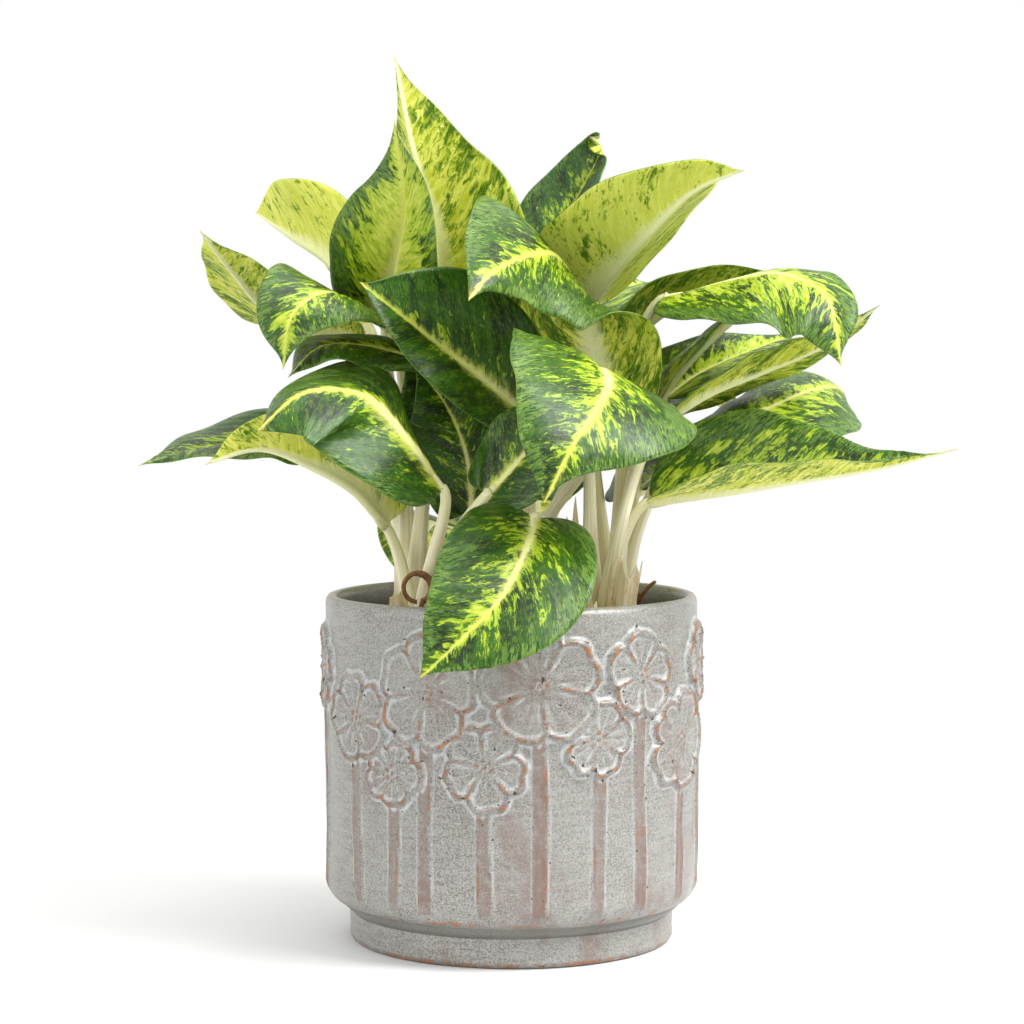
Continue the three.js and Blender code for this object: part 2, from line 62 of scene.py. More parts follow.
def unitRows(vectors):
    return vectors / np.maximum(np.linalg.norm(vectors, axis=-1, keepdims=True), 1e-9)


def bumpAlong(value, width):
    return np.exp(-((value / width) ** 2))


def fullTurn(count):
    return np.linspace(0, 2 * math.pi, count, endpoint=False)


def roundAbout(radius, turn, z):
    # turn is the angle round from the front, which faces -Y
    return np.stack([radius * np.sin(turn), -radius * np.cos(turn), z], axis=-1)


def ringFaces(rows, sides):
    # quads between rings of points that follow each other
    row, side = np.meshgrid(np.arange(rows - 1), np.arange(sides), indexing="ij")
    after = (side + 1) % sides
    corners = (row * sides + side, row * sides + after, (row + 1) * sides + after, (row + 1) * sides + side)
    return np.stack(corners, axis=-1).reshape(-1, 4)


def stripFaces(rows, columns):
    # a thin closed strip: both faces with their edges, then the caps at its two ends
    low = np.arange(columns - 1)
    facing = 2 * columns - 1 - low
    start = np.stack([low + 1, low, facing, facing - 1], axis=1)
    end = np.stack([low, low + 1, facing - 1, facing], axis=1) + (rows - 1) * 2 * columns
    return np.concatenate([ringFaces(rows, 2 * columns), start, end])


def bothFaces(parts):
    # values over a strip's upper face, repeated for its under face
    values = np.stack(parts, axis=-1)
    return np.concatenate([values, values[:, ::-1]], axis=1).reshape(-1, len(parts))


def joinShapes(shapes):
    points, faces, skins = [], [], []
    marks = {key: [] for key in shapes[0]["marks"]}
    start = 0
    for shape in shapes:
        points.append(shape["points"])
        faces.extend((face + start).tolist() for face in shape["faces"])
        skins.extend(shape.get("skins", [0] * len(shape["faces"])))
        for key in marks:
            marks[key].append(shape["marks"][key])
        start += len(shape["points"])
    marks = {key: np.concatenate(values) for key, values in marks.items()}
    return {"points": np.concatenate(points), "faces": faces, "skins": skins, "marks": marks}


def makePiece(name, shape, materials, nodes):
    # points in mm, in the frame's own axes
    mesh = bpy.data.meshes.new(name)
    faces = [face if isinstance(face, list) else face.tolist() for face in shape["faces"]]
    mesh.from_pydata((shape["points"] * mm).tolist(), [], faces)
    for key, values in shape["marks"].items():
        mark = mesh.attributes.new(key, "FLOAT_VECTOR", "POINT")
        mark.data.foreach_set("vector", values.astype(np.float32).ravel())
    for material in materials:
        mesh.materials.append(material)
    if shape.get("skins") is not None:
        mesh.polygons.foreach_set("material_index", np.array(shape["skins"], dtype=np.int32))
    if shape.get("flat") is not None:
        sheet = mesh.uv_layers.new(name="sheet")
        corners = np.empty(len(mesh.loops), dtype=np.int32)
        mesh.loops.foreach_get("vertex_index", corners)
        sheet.data.foreach_set("uv", shape["flat"][corners].astype(np.float32).ravel())
    mesh.polygons.foreach_set("use_smooth", np.ones(len(mesh.polygons), dtype=bool))
    mesh.validate()
    mesh.update()
    piece = bpy.data.objects.new(name, mesh)
    bpy.context.scene.collection.objects.link(piece)
    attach(piece, "root")
    if nodes:
        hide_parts(*nodes)


# Helpers for materials

bench = {}  # node tree and shader of the material that is being made


def startMaterial(name):
    material = bpy.data.materials.new(name)
    material.use_nodes = True
    bench["tree"] = material.node_tree
    bench["shader"] = material.node_tree.nodes["Principled BSDF"]
    return material


def setInputs(node, inputs):
    # a socket is linked and a plain value is set
    for key, value in inputs.items():
        if isinstance(value, bpy.types.NodeSocket):
            bench["tree"].links.new(value, node.inputs[key])
        else:
            node.inputs[key].default_value = value


def finishWith(inputs):
    setInputs(bench["shader"], inputs)


def addNode(kind, inputs=None, **settings):
    node = bench["tree"].nodes.new("ShaderNode" + kind)
    for key, value in settings.items():
        setattr(node, key, value)
    setInputs(node, inputs or {})
    return node


def markAt(name):
    return addNode("Attribute", attribute_name=name).outputs["Vector"]


def objectPlace():
    return addNode("TexCoord").outputs["Object"]


def splitUp(vector):
    return list(addNode("SeparateXYZ", {0: vector}).outputs)


def calc(operation, first, second=0.0, third=0.0):
    return addNode("Math", {0: first, 1: second, 2: third}, operation=operation).outputs[0]


def times(first, second):
    return calc("MULTIPLY", first, second)


def scaled(value, by, plus):
    return calc("MULTIPLY_ADD", value, by, plus)


def ease(value, low, high, start=0.0, end=1.0):
    inputs = {"Value": value, "From Min": low, "From Max": high, "To Min": start, "To Max": end}
    return addNode("MapRange", inputs, interpolation_type="SMOOTHSTEP").outputs["Result"]


def cloudy(place, scale=1.0, detail=3.0, rough=0.6, twist=0.0, stretch=(1, 1, 1), shift=(0, 0, 0)):
    moved = addNode("VectorMath", {0: place, 1: stretch, 2: shift}, operation="MULTIPLY_ADD").outputs[0]
    inputs = {"Vector": moved, "Scale": scale, "Detail": detail, "Roughness": rough, "Distortion": twist}
    return addNode("TexNoise", inputs).outputs["Fac"]


def mixed(share, first, second, mode="MIX"):
    return addNode("Mix", {0: share, 6: first, 7: second}, data_type="RGBA", blend_type=mode).outputs[2]


def raised(height, strength, distance, below=None):
    inputs = {"Height": height, "Strength": strength, "Distance": distance * mm}
    if below is not None:
        inputs["Normal"] = below
    return addNode("Bump", inputs).outputs["Normal"]


# Leaf finish: pale rib, lime islands on dark green beside it, mint with dark dashes further out; the mint
# zone's grey-green is partly the leaf's own tone and partly painted satin sheen.
# The underside is paler and matte, with the green showing through in specks.
# Each noise has its stretch away from the rib and along it, detail, roughness, twist and shift.

upperFace = {
    "cream": screenColour(230, 230, 160),
    "butter": screenColour(194, 202, 84),
    "lime": screenColour(150, 172, 32),
    "olive": screenColour(92, 124, 12),
    "leafGreen": screenColour(38, 82, 7),
    "deepGreen": screenColour(10, 38, 5),
    # mint and pale sheen: grey-green tones, partly the leaf's own and partly painted satin sheen on the outer
    # blade
    "mint": screenColour(78, 112, 40),
    "paleMint": screenColour(116, 144, 66),
    "dashGreen": screenColour(20, 58, 10),
    "brown": screenColour(150, 96, 44),
    "rough": (0.36, 0.48), "shine": 0.3, "coat": 0.06,
    "noises": [
        (0.12, 0.24, 4, 0.6, 0.6, (0, 0, 0)),  # streaks
        (0.19, 0.28, 5, 0.66, 0.9, (9, 4, 2)),  # islands
        (0.46, 0.82, 4, 0.6, 0.8, (3, 7, 5)),  # dashes
        (0.75, 1.5, 3, 0.6, 0.4, (6, 1, 9)),  # flecks
        (0.06, 0.085, 2, 0.5, 0.0, (1, 2, 8)),  # patches
        (1.6, 4.0, 2, 0.6, 0.0, (5, 5, 5)),  # grain
    ],
}

underFace = {
    "cream": screenColour(236, 236, 184),
    "pale": screenColour(224, 226, 110),
    "olive": screenColour(194, 202, 62),
    "green": screenColour(106, 142, 18),
    "deep": screenColour(54, 98, 12),
    "brown": screenColour(160, 104, 52),
    "rough": (0.5, 0.64), "shine": 0.2, "coat": 0.0,
    "noises": [
        (0.09, 0.36, 4, 0.6, 0.5, (0, 0, 0)),  # streaks
        (0.26, 0.38, 5, 0.72, 0.8, (4, 2, 6)),  # specks
        (0.05, 0.08, 3, 0.55, 0.0, (2, 9, 4)),  # clouds
        (1.4, 3.2, 2, 0.6, 0.0, (5, 5, 5)),  # grain
    ],
}


def startBlade(name, look):
    # the places on the blade and the leaf's own tones as sockets, and the face's noises
    material = startMaterial(name)
    vein = markAt("veinPlace")
    across, along, line = splitUp(markAt("bladePlace"))
    green, warm, mint = splitUp(markAt("leafTone"))
    marks = {
        "along": along, "line": line, "green": green, "warm": warm, "mint": mint,
        "dry": splitUp(markAt("leafEdge"))[0],
        "reach": calc("ABSOLUTE", across),
        "fromRib": calc("ABSOLUTE", splitUp(vein)[0]),
    }
    noises = []
    for away, ahead, detail, rough, twist, shift in look["noises"]:
        noises.append(cloudy(vein, 1.0, detail, rough, twist, (away, ahead, 1), shift))
    return material, marks, noises


def finishBlade(marks, colour, look, grain, streak):
    # brown tip, fine grain and skin shared by both faces
    wander = scaled(streak, 0.08, marks["along"])
    brown = times(ease(wander, 0.99, 1.04), marks["dry"])
    colour = mixed(brown, colour, look["brown"])
    shade = ease(grain, 0.25, 0.75, 0.92, 1.07)
    shade = addNode("CombineXYZ", {0: shade, 1: shade, 2: shade}).outputs[0]
    finishWith({
        "Base Color": mixed(1.0, colour, shade, "MULTIPLY"),
        "Roughness": ease(grain, 0.3, 0.7, *look["rough"]),
        "Normal": raised(streak, 0.3, 0.5, raised(grain, 0.22, 0.12)),
        "Specular IOR Level": look["shine"],
        "Coat Weight": look["coat"],
        "Coat Roughness": 0.35,
        "Subsurface Weight": 0.1,
        "Subsurface Radius": (0.6, 1.0, 0.2),
        "Subsurface Scale": 0.001,
    })


def upperMaterial():
    look = upperFace
    material, marks, noises = startBlade("leafUpper", look)
    streak, island, dash, fleck, patch, grain = noises
    reach, along = marks["reach"], marks["along"]

    # distance from the rib with a ragged, drifting edge
    zone = calc("ADD", scaled(streak, 0.8, reach), scaled(patch, 1.5, -1.15))

    # dark ground, marbled
    ground = mixed(ease(patch, 0.4, 0.62), look["leafGreen"], look["deepGreen"])
    ground = mixed(ease(dash, 0.5, 0.62, 0, 0.7), ground, look["deepGreen"])
    ground = mixed(ease(fleck, 0.54, 0.64, 0, 0.6), ground, look["olive"])

    # lime islands, crowded at the rib and few further out
    few = calc("ADD", scaled(marks["green"], 0.2, 0.37), times(ease(zone, -0.1, 1.0), 0.16))
    above = calc("SUBTRACT", scaled(dash, 0.3, times(island, 0.7)), few)
    lime = mixed(ease(above, 0.03, 0.18), look["lime"], look["butter"])
    rim = mixed(ease(above, -0.05, -0.01), ground, look["olive"])
    colour = mixed(ease(above, -0.012, 0.022), rim, lime)

    # mint outer zone: grey-green, partly the leaf's own and partly painted satin sheen, with the leaf's own
    # short dark dashes and small pale flecks
    # where the painted sheen zone starts, further in on leaves with more mint
    sheenFrom = scaled(marks["mint"], -0.72, 1.12)
    sheenShare = ease(calc("SUBTRACT", zone, sheenFrom), -0.07, 0.1)
    mint = mixed(ease(patch, 0.4, 0.6), look["paleMint"], look["mint"])
    mint = mixed(ease(streak, 0.4, 0.62, 0, 0.5), mint, look["mint"])
    dashed = ease(calc("SUBTRACT", dash, scaled(reach, 0.06, 0.465)), 0.0, 0.02)
    mint = mixed(times(dashed, 0.95), mint, look["dashGreen"])
    mint = mixed(ease(fleck, 0.6, 0.66, 0, 0.7), mint, look["lime"])
    colour = mixed(times(sheenShare, 0.92), colour, mint)

    # pale rib with soft ragged sides, wide at the stalk and fine at the tip
    ribWide = times(scaled(marks["warm"], 1.9, 0.9), ease(along, 0.0, 1.05, 1.0, 0.22))
    ribSide = calc("DIVIDE", marks["fromRib"], times(ribWide, scaled(streak, 1.4, 0.3)))
    ribColour = mixed(ease(along, 0.2, 0.7), look["cream"], look["butter"])
    soft = times(ease(ribSide, 3.0, 0.6), ease(island, 0.42, 0.54, 0.2, 1.0))
    colour = mixed(times(soft, 0.85), colour, look["butter"])
    colour = mixed(ease(ribSide, 1.6, 0.3, 0, 0.92), colour, ribColour)
    colour = mixed(times(marks["line"], 0.16), colour, look["lime"])
    # thin pale line along the margin: a painted highlight in the pale sheen tone
    colour = mixed(ease(reach, 0.972, 0.994, 0, 0.4), colour, look["paleMint"])
    finishBlade(marks, colour, look, grain, streak)
    return material


def underMaterial():
    look = underFace
    material, marks, noises = startBlade("leafUnder", look)
    streak, speck, cloud, grain = noises
    reach, along = marks["reach"], marks["along"]
    colour = mixed(ease(streak, 0.42, 0.62), look["olive"], look["pale"])
    colour = mixed(ease(marks["warm"], 0.3, 1.0, 0, 0.55), colour, look["pale"])

    # green shows through in specks, thicker in clouds and towards the margin
    few = calc("ADD", scaled(marks["green"], -0.28, 0.72), 0.3)
    few = scaled(reach, -0.08, scaled(cloud, -0.62, few))
    above = calc("SUBTRACT", speck, few)
    colour = mixed(ease(above, -0.05, 0.03, 0, 0.85), colour, look["green"])
    colour = mixed(ease(above, 0.04, 0.1, 0, 0.85), colour, look["deep"])

    # whitish along the rib towards the stalk
    wide = times(scaled(marks["warm"], 8.0, 3.0), ease(along, 0.0, 0.95, 1.0, 0.08))
    side = calc("DIVIDE", marks["fromRib"], times(wide, calc("ADD", streak, 0.5)))
    colour = mixed(ease(side, 1.3, 0.25, 0, 0.85), colour, look["cream"])
    colour = mixed(times(marks["line"], 0.4), colour, look["pale"])
    colour = mixed(ease(marks["fromRib"], 1.5, 0.7, 0, 0.8), colour, look["cream"])
    colour = mixed(ease(reach, 0.975, 0.995, 0, 0.4), colour, look["pale"])
    finishBlade(marks, colour, look, grain, streak)
    return material


bladeSkins = [upperMaterial(), underMaterial()]
print("leaf finish ready")


# Leaves: rib from the stalk to the tip, the way the upper face looks along it, half width, and the
# degrees that a half folds up from the rib and curls down to the margin. lobe draws the base back,
# sweep draws the margin ahead, and a low taper keeps the tip broad. Where a leaf has a pair of
# values, they are for its right and left half. green is the share of green on the blade, warm how
# creamy its middle is, mint how far in the zone of painted sheen starts and dry how brown the tip is.

leafPlans = {
    "leaf_top_spire": dict(
        shoot="middle", rib=[(-28, 27, 232), (-28, 12, 264), (-37, 2, 296), (-44, 0, 331)],
        face=[(0.4, 0.9, 0.1), (0.5, 0.9, 0)], half=35, fold=(54, 20), sweep=-5, green=0.55, warm=0.35,
    ),
    "leaf_top_left": dict(
        shoot="left_back", rib=[(-48, 17, 232), (-44, -5, 250), (-39, -21, 275), (-43, -20, 305)],
        face=[(-0.1, -1, -0.1), (-0.7, -0.6, -0.2)], half=26, fold=(34, 21), green=0.0, warm=1.3, mint=0.5,
    ),
    "leaf_pale_left": dict(
        shoot="left_back", rib=[(-57, 25, 234), (-69, 29, 253), (-86, 42, 265), (-102, 62, 276)],
        face=[(0.3, 0.8, 0.5), (0.2, 0.8, 0.5)], half=28, fold=(55, 10), sweep=11,
        green=0.25, warm=0.8, wave=1.5,
    ),
    "leaf_far_left": dict(
        shoot="left_back", rib=[(-66, 73, 225), (-92, 38, 234), (-106, 8, 251), (-115, -15, 265)],
        face=[(0.4, 0.7, 0.6), (0.5, 0.8, 0.5)], half=(25, 22), fold=(22, 26), green=0.5, warm=0.4,
    ),
    "leaf_left_nodding": dict(
        shoot="left_back", half=26, fold=(14, 0), curl=(11, 26), green=0.45, warm=0.35, mint=0.5,
        rib=[(-47, 3, 230), (-57, -12, 237), (-68, -28, 242), (-79, -41, 233), (-82, -46, 214)],
        face=[(-0.2, -0.5, 0.9), (-0.3, -0.7, 0.7), (-0.7, -0.6, 0.3)],
    ),
    "leaf_left_arched": dict(
        shoot="left_front", half=(33, 31), fold=(-8, -16), lobe=2, sweep=(7, 15), taper=(1.25, 0.9),
        rib=[(-25, -48, 172), (-37, -56, 190), (-52, -62, 205), (-72, -70, 206), (-88, -80, 193)],
        face=[(0.3, -0.4, 0.9), (-0.3, -0.5, 0.8), (-0.5, -0.5, 0.7)],
        green=0.85, warm=0.9, mint=0.42, wave=0.25,
    ),
    "leaf_left_reaching": dict(
        shoot="left_back", rib=[(-60, 27, 187), (-90, 23, 188), (-117, 11, 184), (-140, -3, 178)],
        face=[(-0.3, -0.4, 0.8), (-0.3, -0.2, 0.9)], half=26, fold=(15, 6), green=0.55, warm=0.1, mint=0.45,
    ),
    "leaf_left_low": dict(
        shoot="left_front", half=28, fold=(62, 58), green=0.5, warm=0.6,
        rib=[(-48, -5, 156), (-59, -17, 169), (-73, -29, 178), (-91, -40, 185), (-110, -46, 180)],
        face=[(-0.2, 0.2, 0.95), (0, 0.3, 0.95)],
    ),
    "leaf_centre_dark": dict(
        shoot="middle", half=(31, 19), fold=(14, 48), curl=(18, 36), sweep=11,
        rib=[(5, -9, 197), (-12, -24, 211), (-32, -39, 227), (-54, -52, 245)],
        face=[(-0.4, -0.8, 0.4), (-0.3, -0.8, 0.5)], green=0.95, warm=0.6, mint=0.12,
    ),
    "leaf_centre_arched": dict(
        shoot="middle", half=(43, 35), fold=(7, -20), sweep=(-2, 5), taper=(0.95, 1.25),
        rib=[(33, -6, 188), (33, 0, 210), (24, -8, 245), (15, -27, 256), (-7, -63, 248), (-15, -75, 238)],
        face=[(0.1, 1, 0), (0.2, 0.9, 0.3), (0.5, -0.2, 0.8), (0.4, -0.6, 0.6), (0.2, -0.8, 0.5)],
        green=0.66, warm=0.6, mint=0.72,
    ),
    "leaf_centre_front": dict(
        shoot="right_front", half=(38, 36), fold=(10, 3), taper=(0.85, 1.6), green=0.6, warm=0.7, mint=0.6,
        rib=[(29, -20, 213), (31, -39, 215), (34, -61, 210), (30, -81, 201), (20, -95, 187), (11, -100, 169)],
        face=[(0.3, 0.3, 0.9), (0.4, -0.1, 0.9), (0.3, -0.8, 0.6), (0.2, -0.9, 0.2)],
    ),
    "leaf_over_rim": dict(
        shoot="right_front", half=27, fold=(12, 10), lobe=(17, 15), taper=(0.9, 1.25),
        rib=[(8, -55, 161), (5, -76, 152), (-3, -91, 137), (-18, -101, 122), (-31, -104, 110)],
        face=[(0.1, -0.8, 0.5), (0, -0.95, 0.3)], green=0.6, warm=0.25, mint=0.5,
    ),
    "leaf_upper_right": dict(
        shoot="right_back", half=(37, 36), fold=(11, 50), sweep=(12, 14), green=0.25, warm=0.9,
        rib=[(29, 25, 237), (40, 5, 252), (51, -13, 264), (67, -27, 279), (84, -33, 286)],
        face=[(-0.2, 0.9, 0.4), (-0.4, 0.7, 0.6)],
    ),
    "leaf_small_back": dict(
        shoot="middle", half=22, fold=(50, 12), green=0.72, warm=0.0, mint=0.3, dry=1.0,
        rib=[(7, 32, 244), (18, 44, 267), (29, 52, 287), (35, 50, 300), (30, 38, 304)],
        face=[(-0.5, -0.85, 0.2), (-0.5, -0.85, 0.3)],
    ),
    "leaf_right_pale": dict(
        shoot="right_back", rib=[(36, 45, 214), (60, 39, 236), (87, 29, 245), (112, 17, 249)],
        face=[(-0.3, 0.6, 0.7), (-0.1, 0.8, 0.5)], half=28, fold=(-10, 55), green=0.55, warm=0.3,
    ),
    "leaf_right_nodding": dict(
        shoot="right_back", half=(29, 21), fold=(-10, -12), curl=(24, 33), sweep=14,
        rib=[(58, -3, 241), (80, -15, 247), (98, -27, 249), (113, -39, 240), (118, -46, 215)],
        face=[(0, 0, 1), (0, -0.6, 0.8), (0.7, -0.6, 0.3)], green=0.3, warm=0.2, mint=0.55,
    ),
    "leaf_right_inner": dict(
        shoot="right_back", half=28, fold=(-11, 40), lobe=4, green=0.36, warm=0.9,
        rib=[(55, -8, 202), (62, -6, 212), (78, 0, 228), (95, 7, 240), (108, 13, 247)],
        face=[(-0.6, 0.4, 0.6), (-0.6, 0.4, 0.6)],
    ),
    "leaf_right_bright": dict(
        shoot="right_back", rib=[(58, 9, 203), (72, 27, 212), (91, 42, 220), (113, 58, 228)],
        face=[(-0.2, -0.6, 0.7), (-0.2, -0.6, 0.7)], half=26, fold=(28, 6), green=0.32, warm=0.1, mint=0.1,
    ),
    "leaf_right_rolled": dict(
        shoot="right_front", half=22, fold=(13, 17), curl=(27, 21), green=0.62, warm=0.1,
        rib=[(57, -22, 196), (74, -5, 205), (95, 6, 213), (118, 6, 223), (137, -7, 238)],
        face=[(-0.4, 0.4, 0.8), (-0.2, 0.4, 0.9)],
    ),
    "leaf_right_bowed": dict(
        shoot="right_back", half=26, fold=(-15, -3), green=0.5, warm=0.1, mint=0.5,
        rib=[(70, -3, 190), (96, 10, 199), (116, 29, 206), (130, 55, 206), (136, 77, 199)],
        face=[(-0.2, -0.3, 0.9), (0.1, -0.3, 0.9), (0.8, -0.3, 0.5)],
    ),
    "leaf_right_low": dict(
        shoot="right_front", half=32, fold=(48, 44), curl=(10, 10), lobe=2, sweep=-8, taper=1.9,
        rib=[(51, -22, 165), (78, -30, 169), (105, -41, 174), (132, -50, 179), (158, -57, 186)],
        face=[(0.1, -0.6, 0.8), (0.2, -0.3, 0.9)], green=0.45, warm=0.3, mint=0.55,
    ),
    "leaf_inner_left": dict(
        shoot="middle", rib=[(-13, 10, 178), (-21, 2, 194), (-30, -6, 208), (-40, -13, 219)],
        face=[(-0.3, -0.7, 0.6), (-0.5, -0.6, 0.6)], half=23, green=0.85, warm=0.0,
    ),
    "leaf_inner_dark": dict(
        shoot="middle", rib=[(-15, -10, 163), (-17, -15, 182), (-24, -19, 200), (-36, -24, 216)],
        face=[(0.3, -0.8, 0.5), (0, -0.8, 0.6)], half=22, fold=(16, 12), green=0.88, warm=0.0,
    ),
    "leaf_inner_right": dict(
        shoot="left_front", rib=[(-8, -43, 170), (3, -44, 182), (13, -40, 194), (20, -29, 205)],
        face=[(-0.2, -0.8, 0.5), (-0.2, -0.8, 0.5)], half=19, fold=(14, 7), green=0.88, warm=0.2,
    ),
    "leaf_left_under": dict(
        shoot="left_back", rib=[(-37, -22, 219), (-56, -26, 223), (-70, -32, 222), (-81, -38, 211)],
        face=[(-0.2, -0.4, 0.9), (-0.5, -0.4, 0.7)], half=(20, 16), fold=0, green=0.7, warm=0.0,
    ),
    "leaf_right_far_low": dict(
        shoot="right_back", rib=[(48, 9, 168), (63, 34, 180), (77, 61, 186), (93, 89, 178)],
        face=[(-0.5, -0.3, 0.8), (0.2, 0.2, 0.9)], half=28, fold=(5, 4), green=0.62, warm=0.2,
    ),
    "leaf_back_right_high": dict(
        shoot="back", rib=[(18, 48, 222), (34, 62, 240), (52, 78, 248), (70, 96, 242)],
        face=[(-0.3, -0.5, 0.8), (0.3, 0.2, 0.9)], half=30, green=0.5, warm=0.3,
    ),
    "leaf_back_high": dict(
        shoot="back", rib=[(-8, 50, 225), (-10, 66, 246), (-14, 84, 256), (-18, 106, 252)],
        face=[(0, -0.6, 0.8), (0, 0.3, 0.9)], half=31, green=0.62, warm=0.4,
    ),
    "leaf_back_left_high": dict(
        shoot="back", rib=[(-24, 58, 182), (-38, 76, 196), (-52, 96, 202), (-66, 116, 192)],
        face=[(0.3, -0.4, 0.9), (-0.3, 0.2, 0.9)], half=28, green=0.45, warm=0.2,
    ),
    "leaf_back_left_low": dict(
        shoot="back", rib=[(-20, 62, 150), (-31, 82, 152), (-38, 102, 141), (-41, 117, 120)],
        face=[(0.2, -0.4, 0.8), (-0.5, 0.4, 0.7)], half=21, fold=(16, 28), green=0.7, warm=0.1,
    ),
    "leaf_back_low": dict(
        shoot="back", rib=[(6, 66, 162), (8, 88, 172), (10, 108, 166), (12, 122, 146)],
        face=[(0, -0.4, 0.9), (0, 0.7, 0.7)], half=29, green=0.55, warm=0.5,
    ),
    "leaf_back_right": dict(
        shoot="back", rib=[(34, 51, 185), (52, 69, 199), (74, 85, 204), (96, 99, 193)],
        face=[(-0.3, -0.4, 0.9), (0.4, 0.3, 0.8)], half=28, green=0.7, warm=0.0,
    ),
}

# what every blade shares, and what it has where its own plan doesn't say
blade = {
    "rows": 74, "halfColumns": 20,
    "thickness": 0.55, "marginThickness": 0.28,
    "widestAt": 0.36, "taper": 1.25, "neck": 2.2, "tip": 0.16,
    "fold": 15, "curl": 18, "lobe": 9, "sweep": 5,
    "veinGap": 7.0, "veinLean": 0.75, "veinCurve": 0.009, "veinDip": 0.16, "veinWidth": 0.8, "quilt": 0.2,
    "ribGroove": 0.5, "keel": 1.5,
    "wave": 0.7, "waveGap": 27.0, "swell": 0.7, "dry": 0.35, "mint": 0.35,
}


def evenly(route, count):
    gone = np.concatenate([[0], np.cumsum(np.linalg.norm(np.diff(route, axis=0), axis=1))])
    even = np.linspace(0, gone[-1], count)
    return np.stack([np.interp(even, gone, route[:, k]) for k in range(3)], axis=1), gone[-1]


def curveThrough(points, count=400):
    # the smooth route through a leaf's rib points, evenly spaced, and its length
    points = np.array(points, dtype=float)
    padded = np.vstack([2 * points[0] - points[1], points, 2 * points[-1] - points[-2]])
    spans = []
    for index in range(len(points) - 1):
        before, start, end, after = padded[index:index + 4]
        steps = (start - before, end - start, after - end)
        gaps = [max(np.linalg.norm(step), 1e-4) ** 0.5 for step in steps]
        leave = (start - before) / gaps[0] - (end - before) / (gaps[0] + gaps[1]) + (end - start) / gaps[1]
        arrive = (end - start) / gaps[1] - (after - start) / (gaps[1] + gaps[2]) + (after - end) / gaps[2]
        leave, arrive = leave * gaps[1], arrive * gaps[1]
        step = np.linspace(0, 1, 120, endpoint=False)[:, None]
        square, cube = step ** 2, step ** 3
        spans.append(
            start + leave * step + (3 * end - 3 * start - 2 * leave - arrive) * square
            + (2 * start - 2 * end + leave + arrive) * cube
        )
    return evenly(np.vstack(spans + [points[-1:]]), count)


def alongRoute(route, share):
    place = np.clip(share, 0, 1) * (len(route) - 1)
    low = np.minimum(place.astype(int), len(route) - 2)
    part = (place - low)[..., None]
    return route[low] * (1 - part) + route[low + 1] * part


def smoothFace(face, count=400):
    # the face direction along the rib, with the corners of the list rounded off
    straight = alongRoute(np.array(face, dtype=float), np.linspace(0, 1, count))
    width = count // 8
    window = np.hanning(width) / np.hanning(width).sum()
    padded = np.vstack([np.repeat(straight[:1], width, 0), straight, np.repeat(straight[-1:], width, 0)])
    soft = np.stack([np.convolve(padded[:, k], window, mode="same") for k in range(3)], axis=1)
    return unitRows(soft[width:-width])


def widthShare(share, taper):
    rise = np.sqrt(np.clip(1 - (1 - share / blade["widestAt"]) ** 2, 0, 1))
    fallShare = np.clip((share - blade["widestAt"]) / (1 - blade["widestAt"]), 0, 1)
    fall = np.clip(np.cos(fallShare * math.pi / 2), 0, 1) ** taper * (1 - 0.3 * easeBetween(share, 0.82, 1))
    return np.where(share < blade["widestAt"], rise, fall)


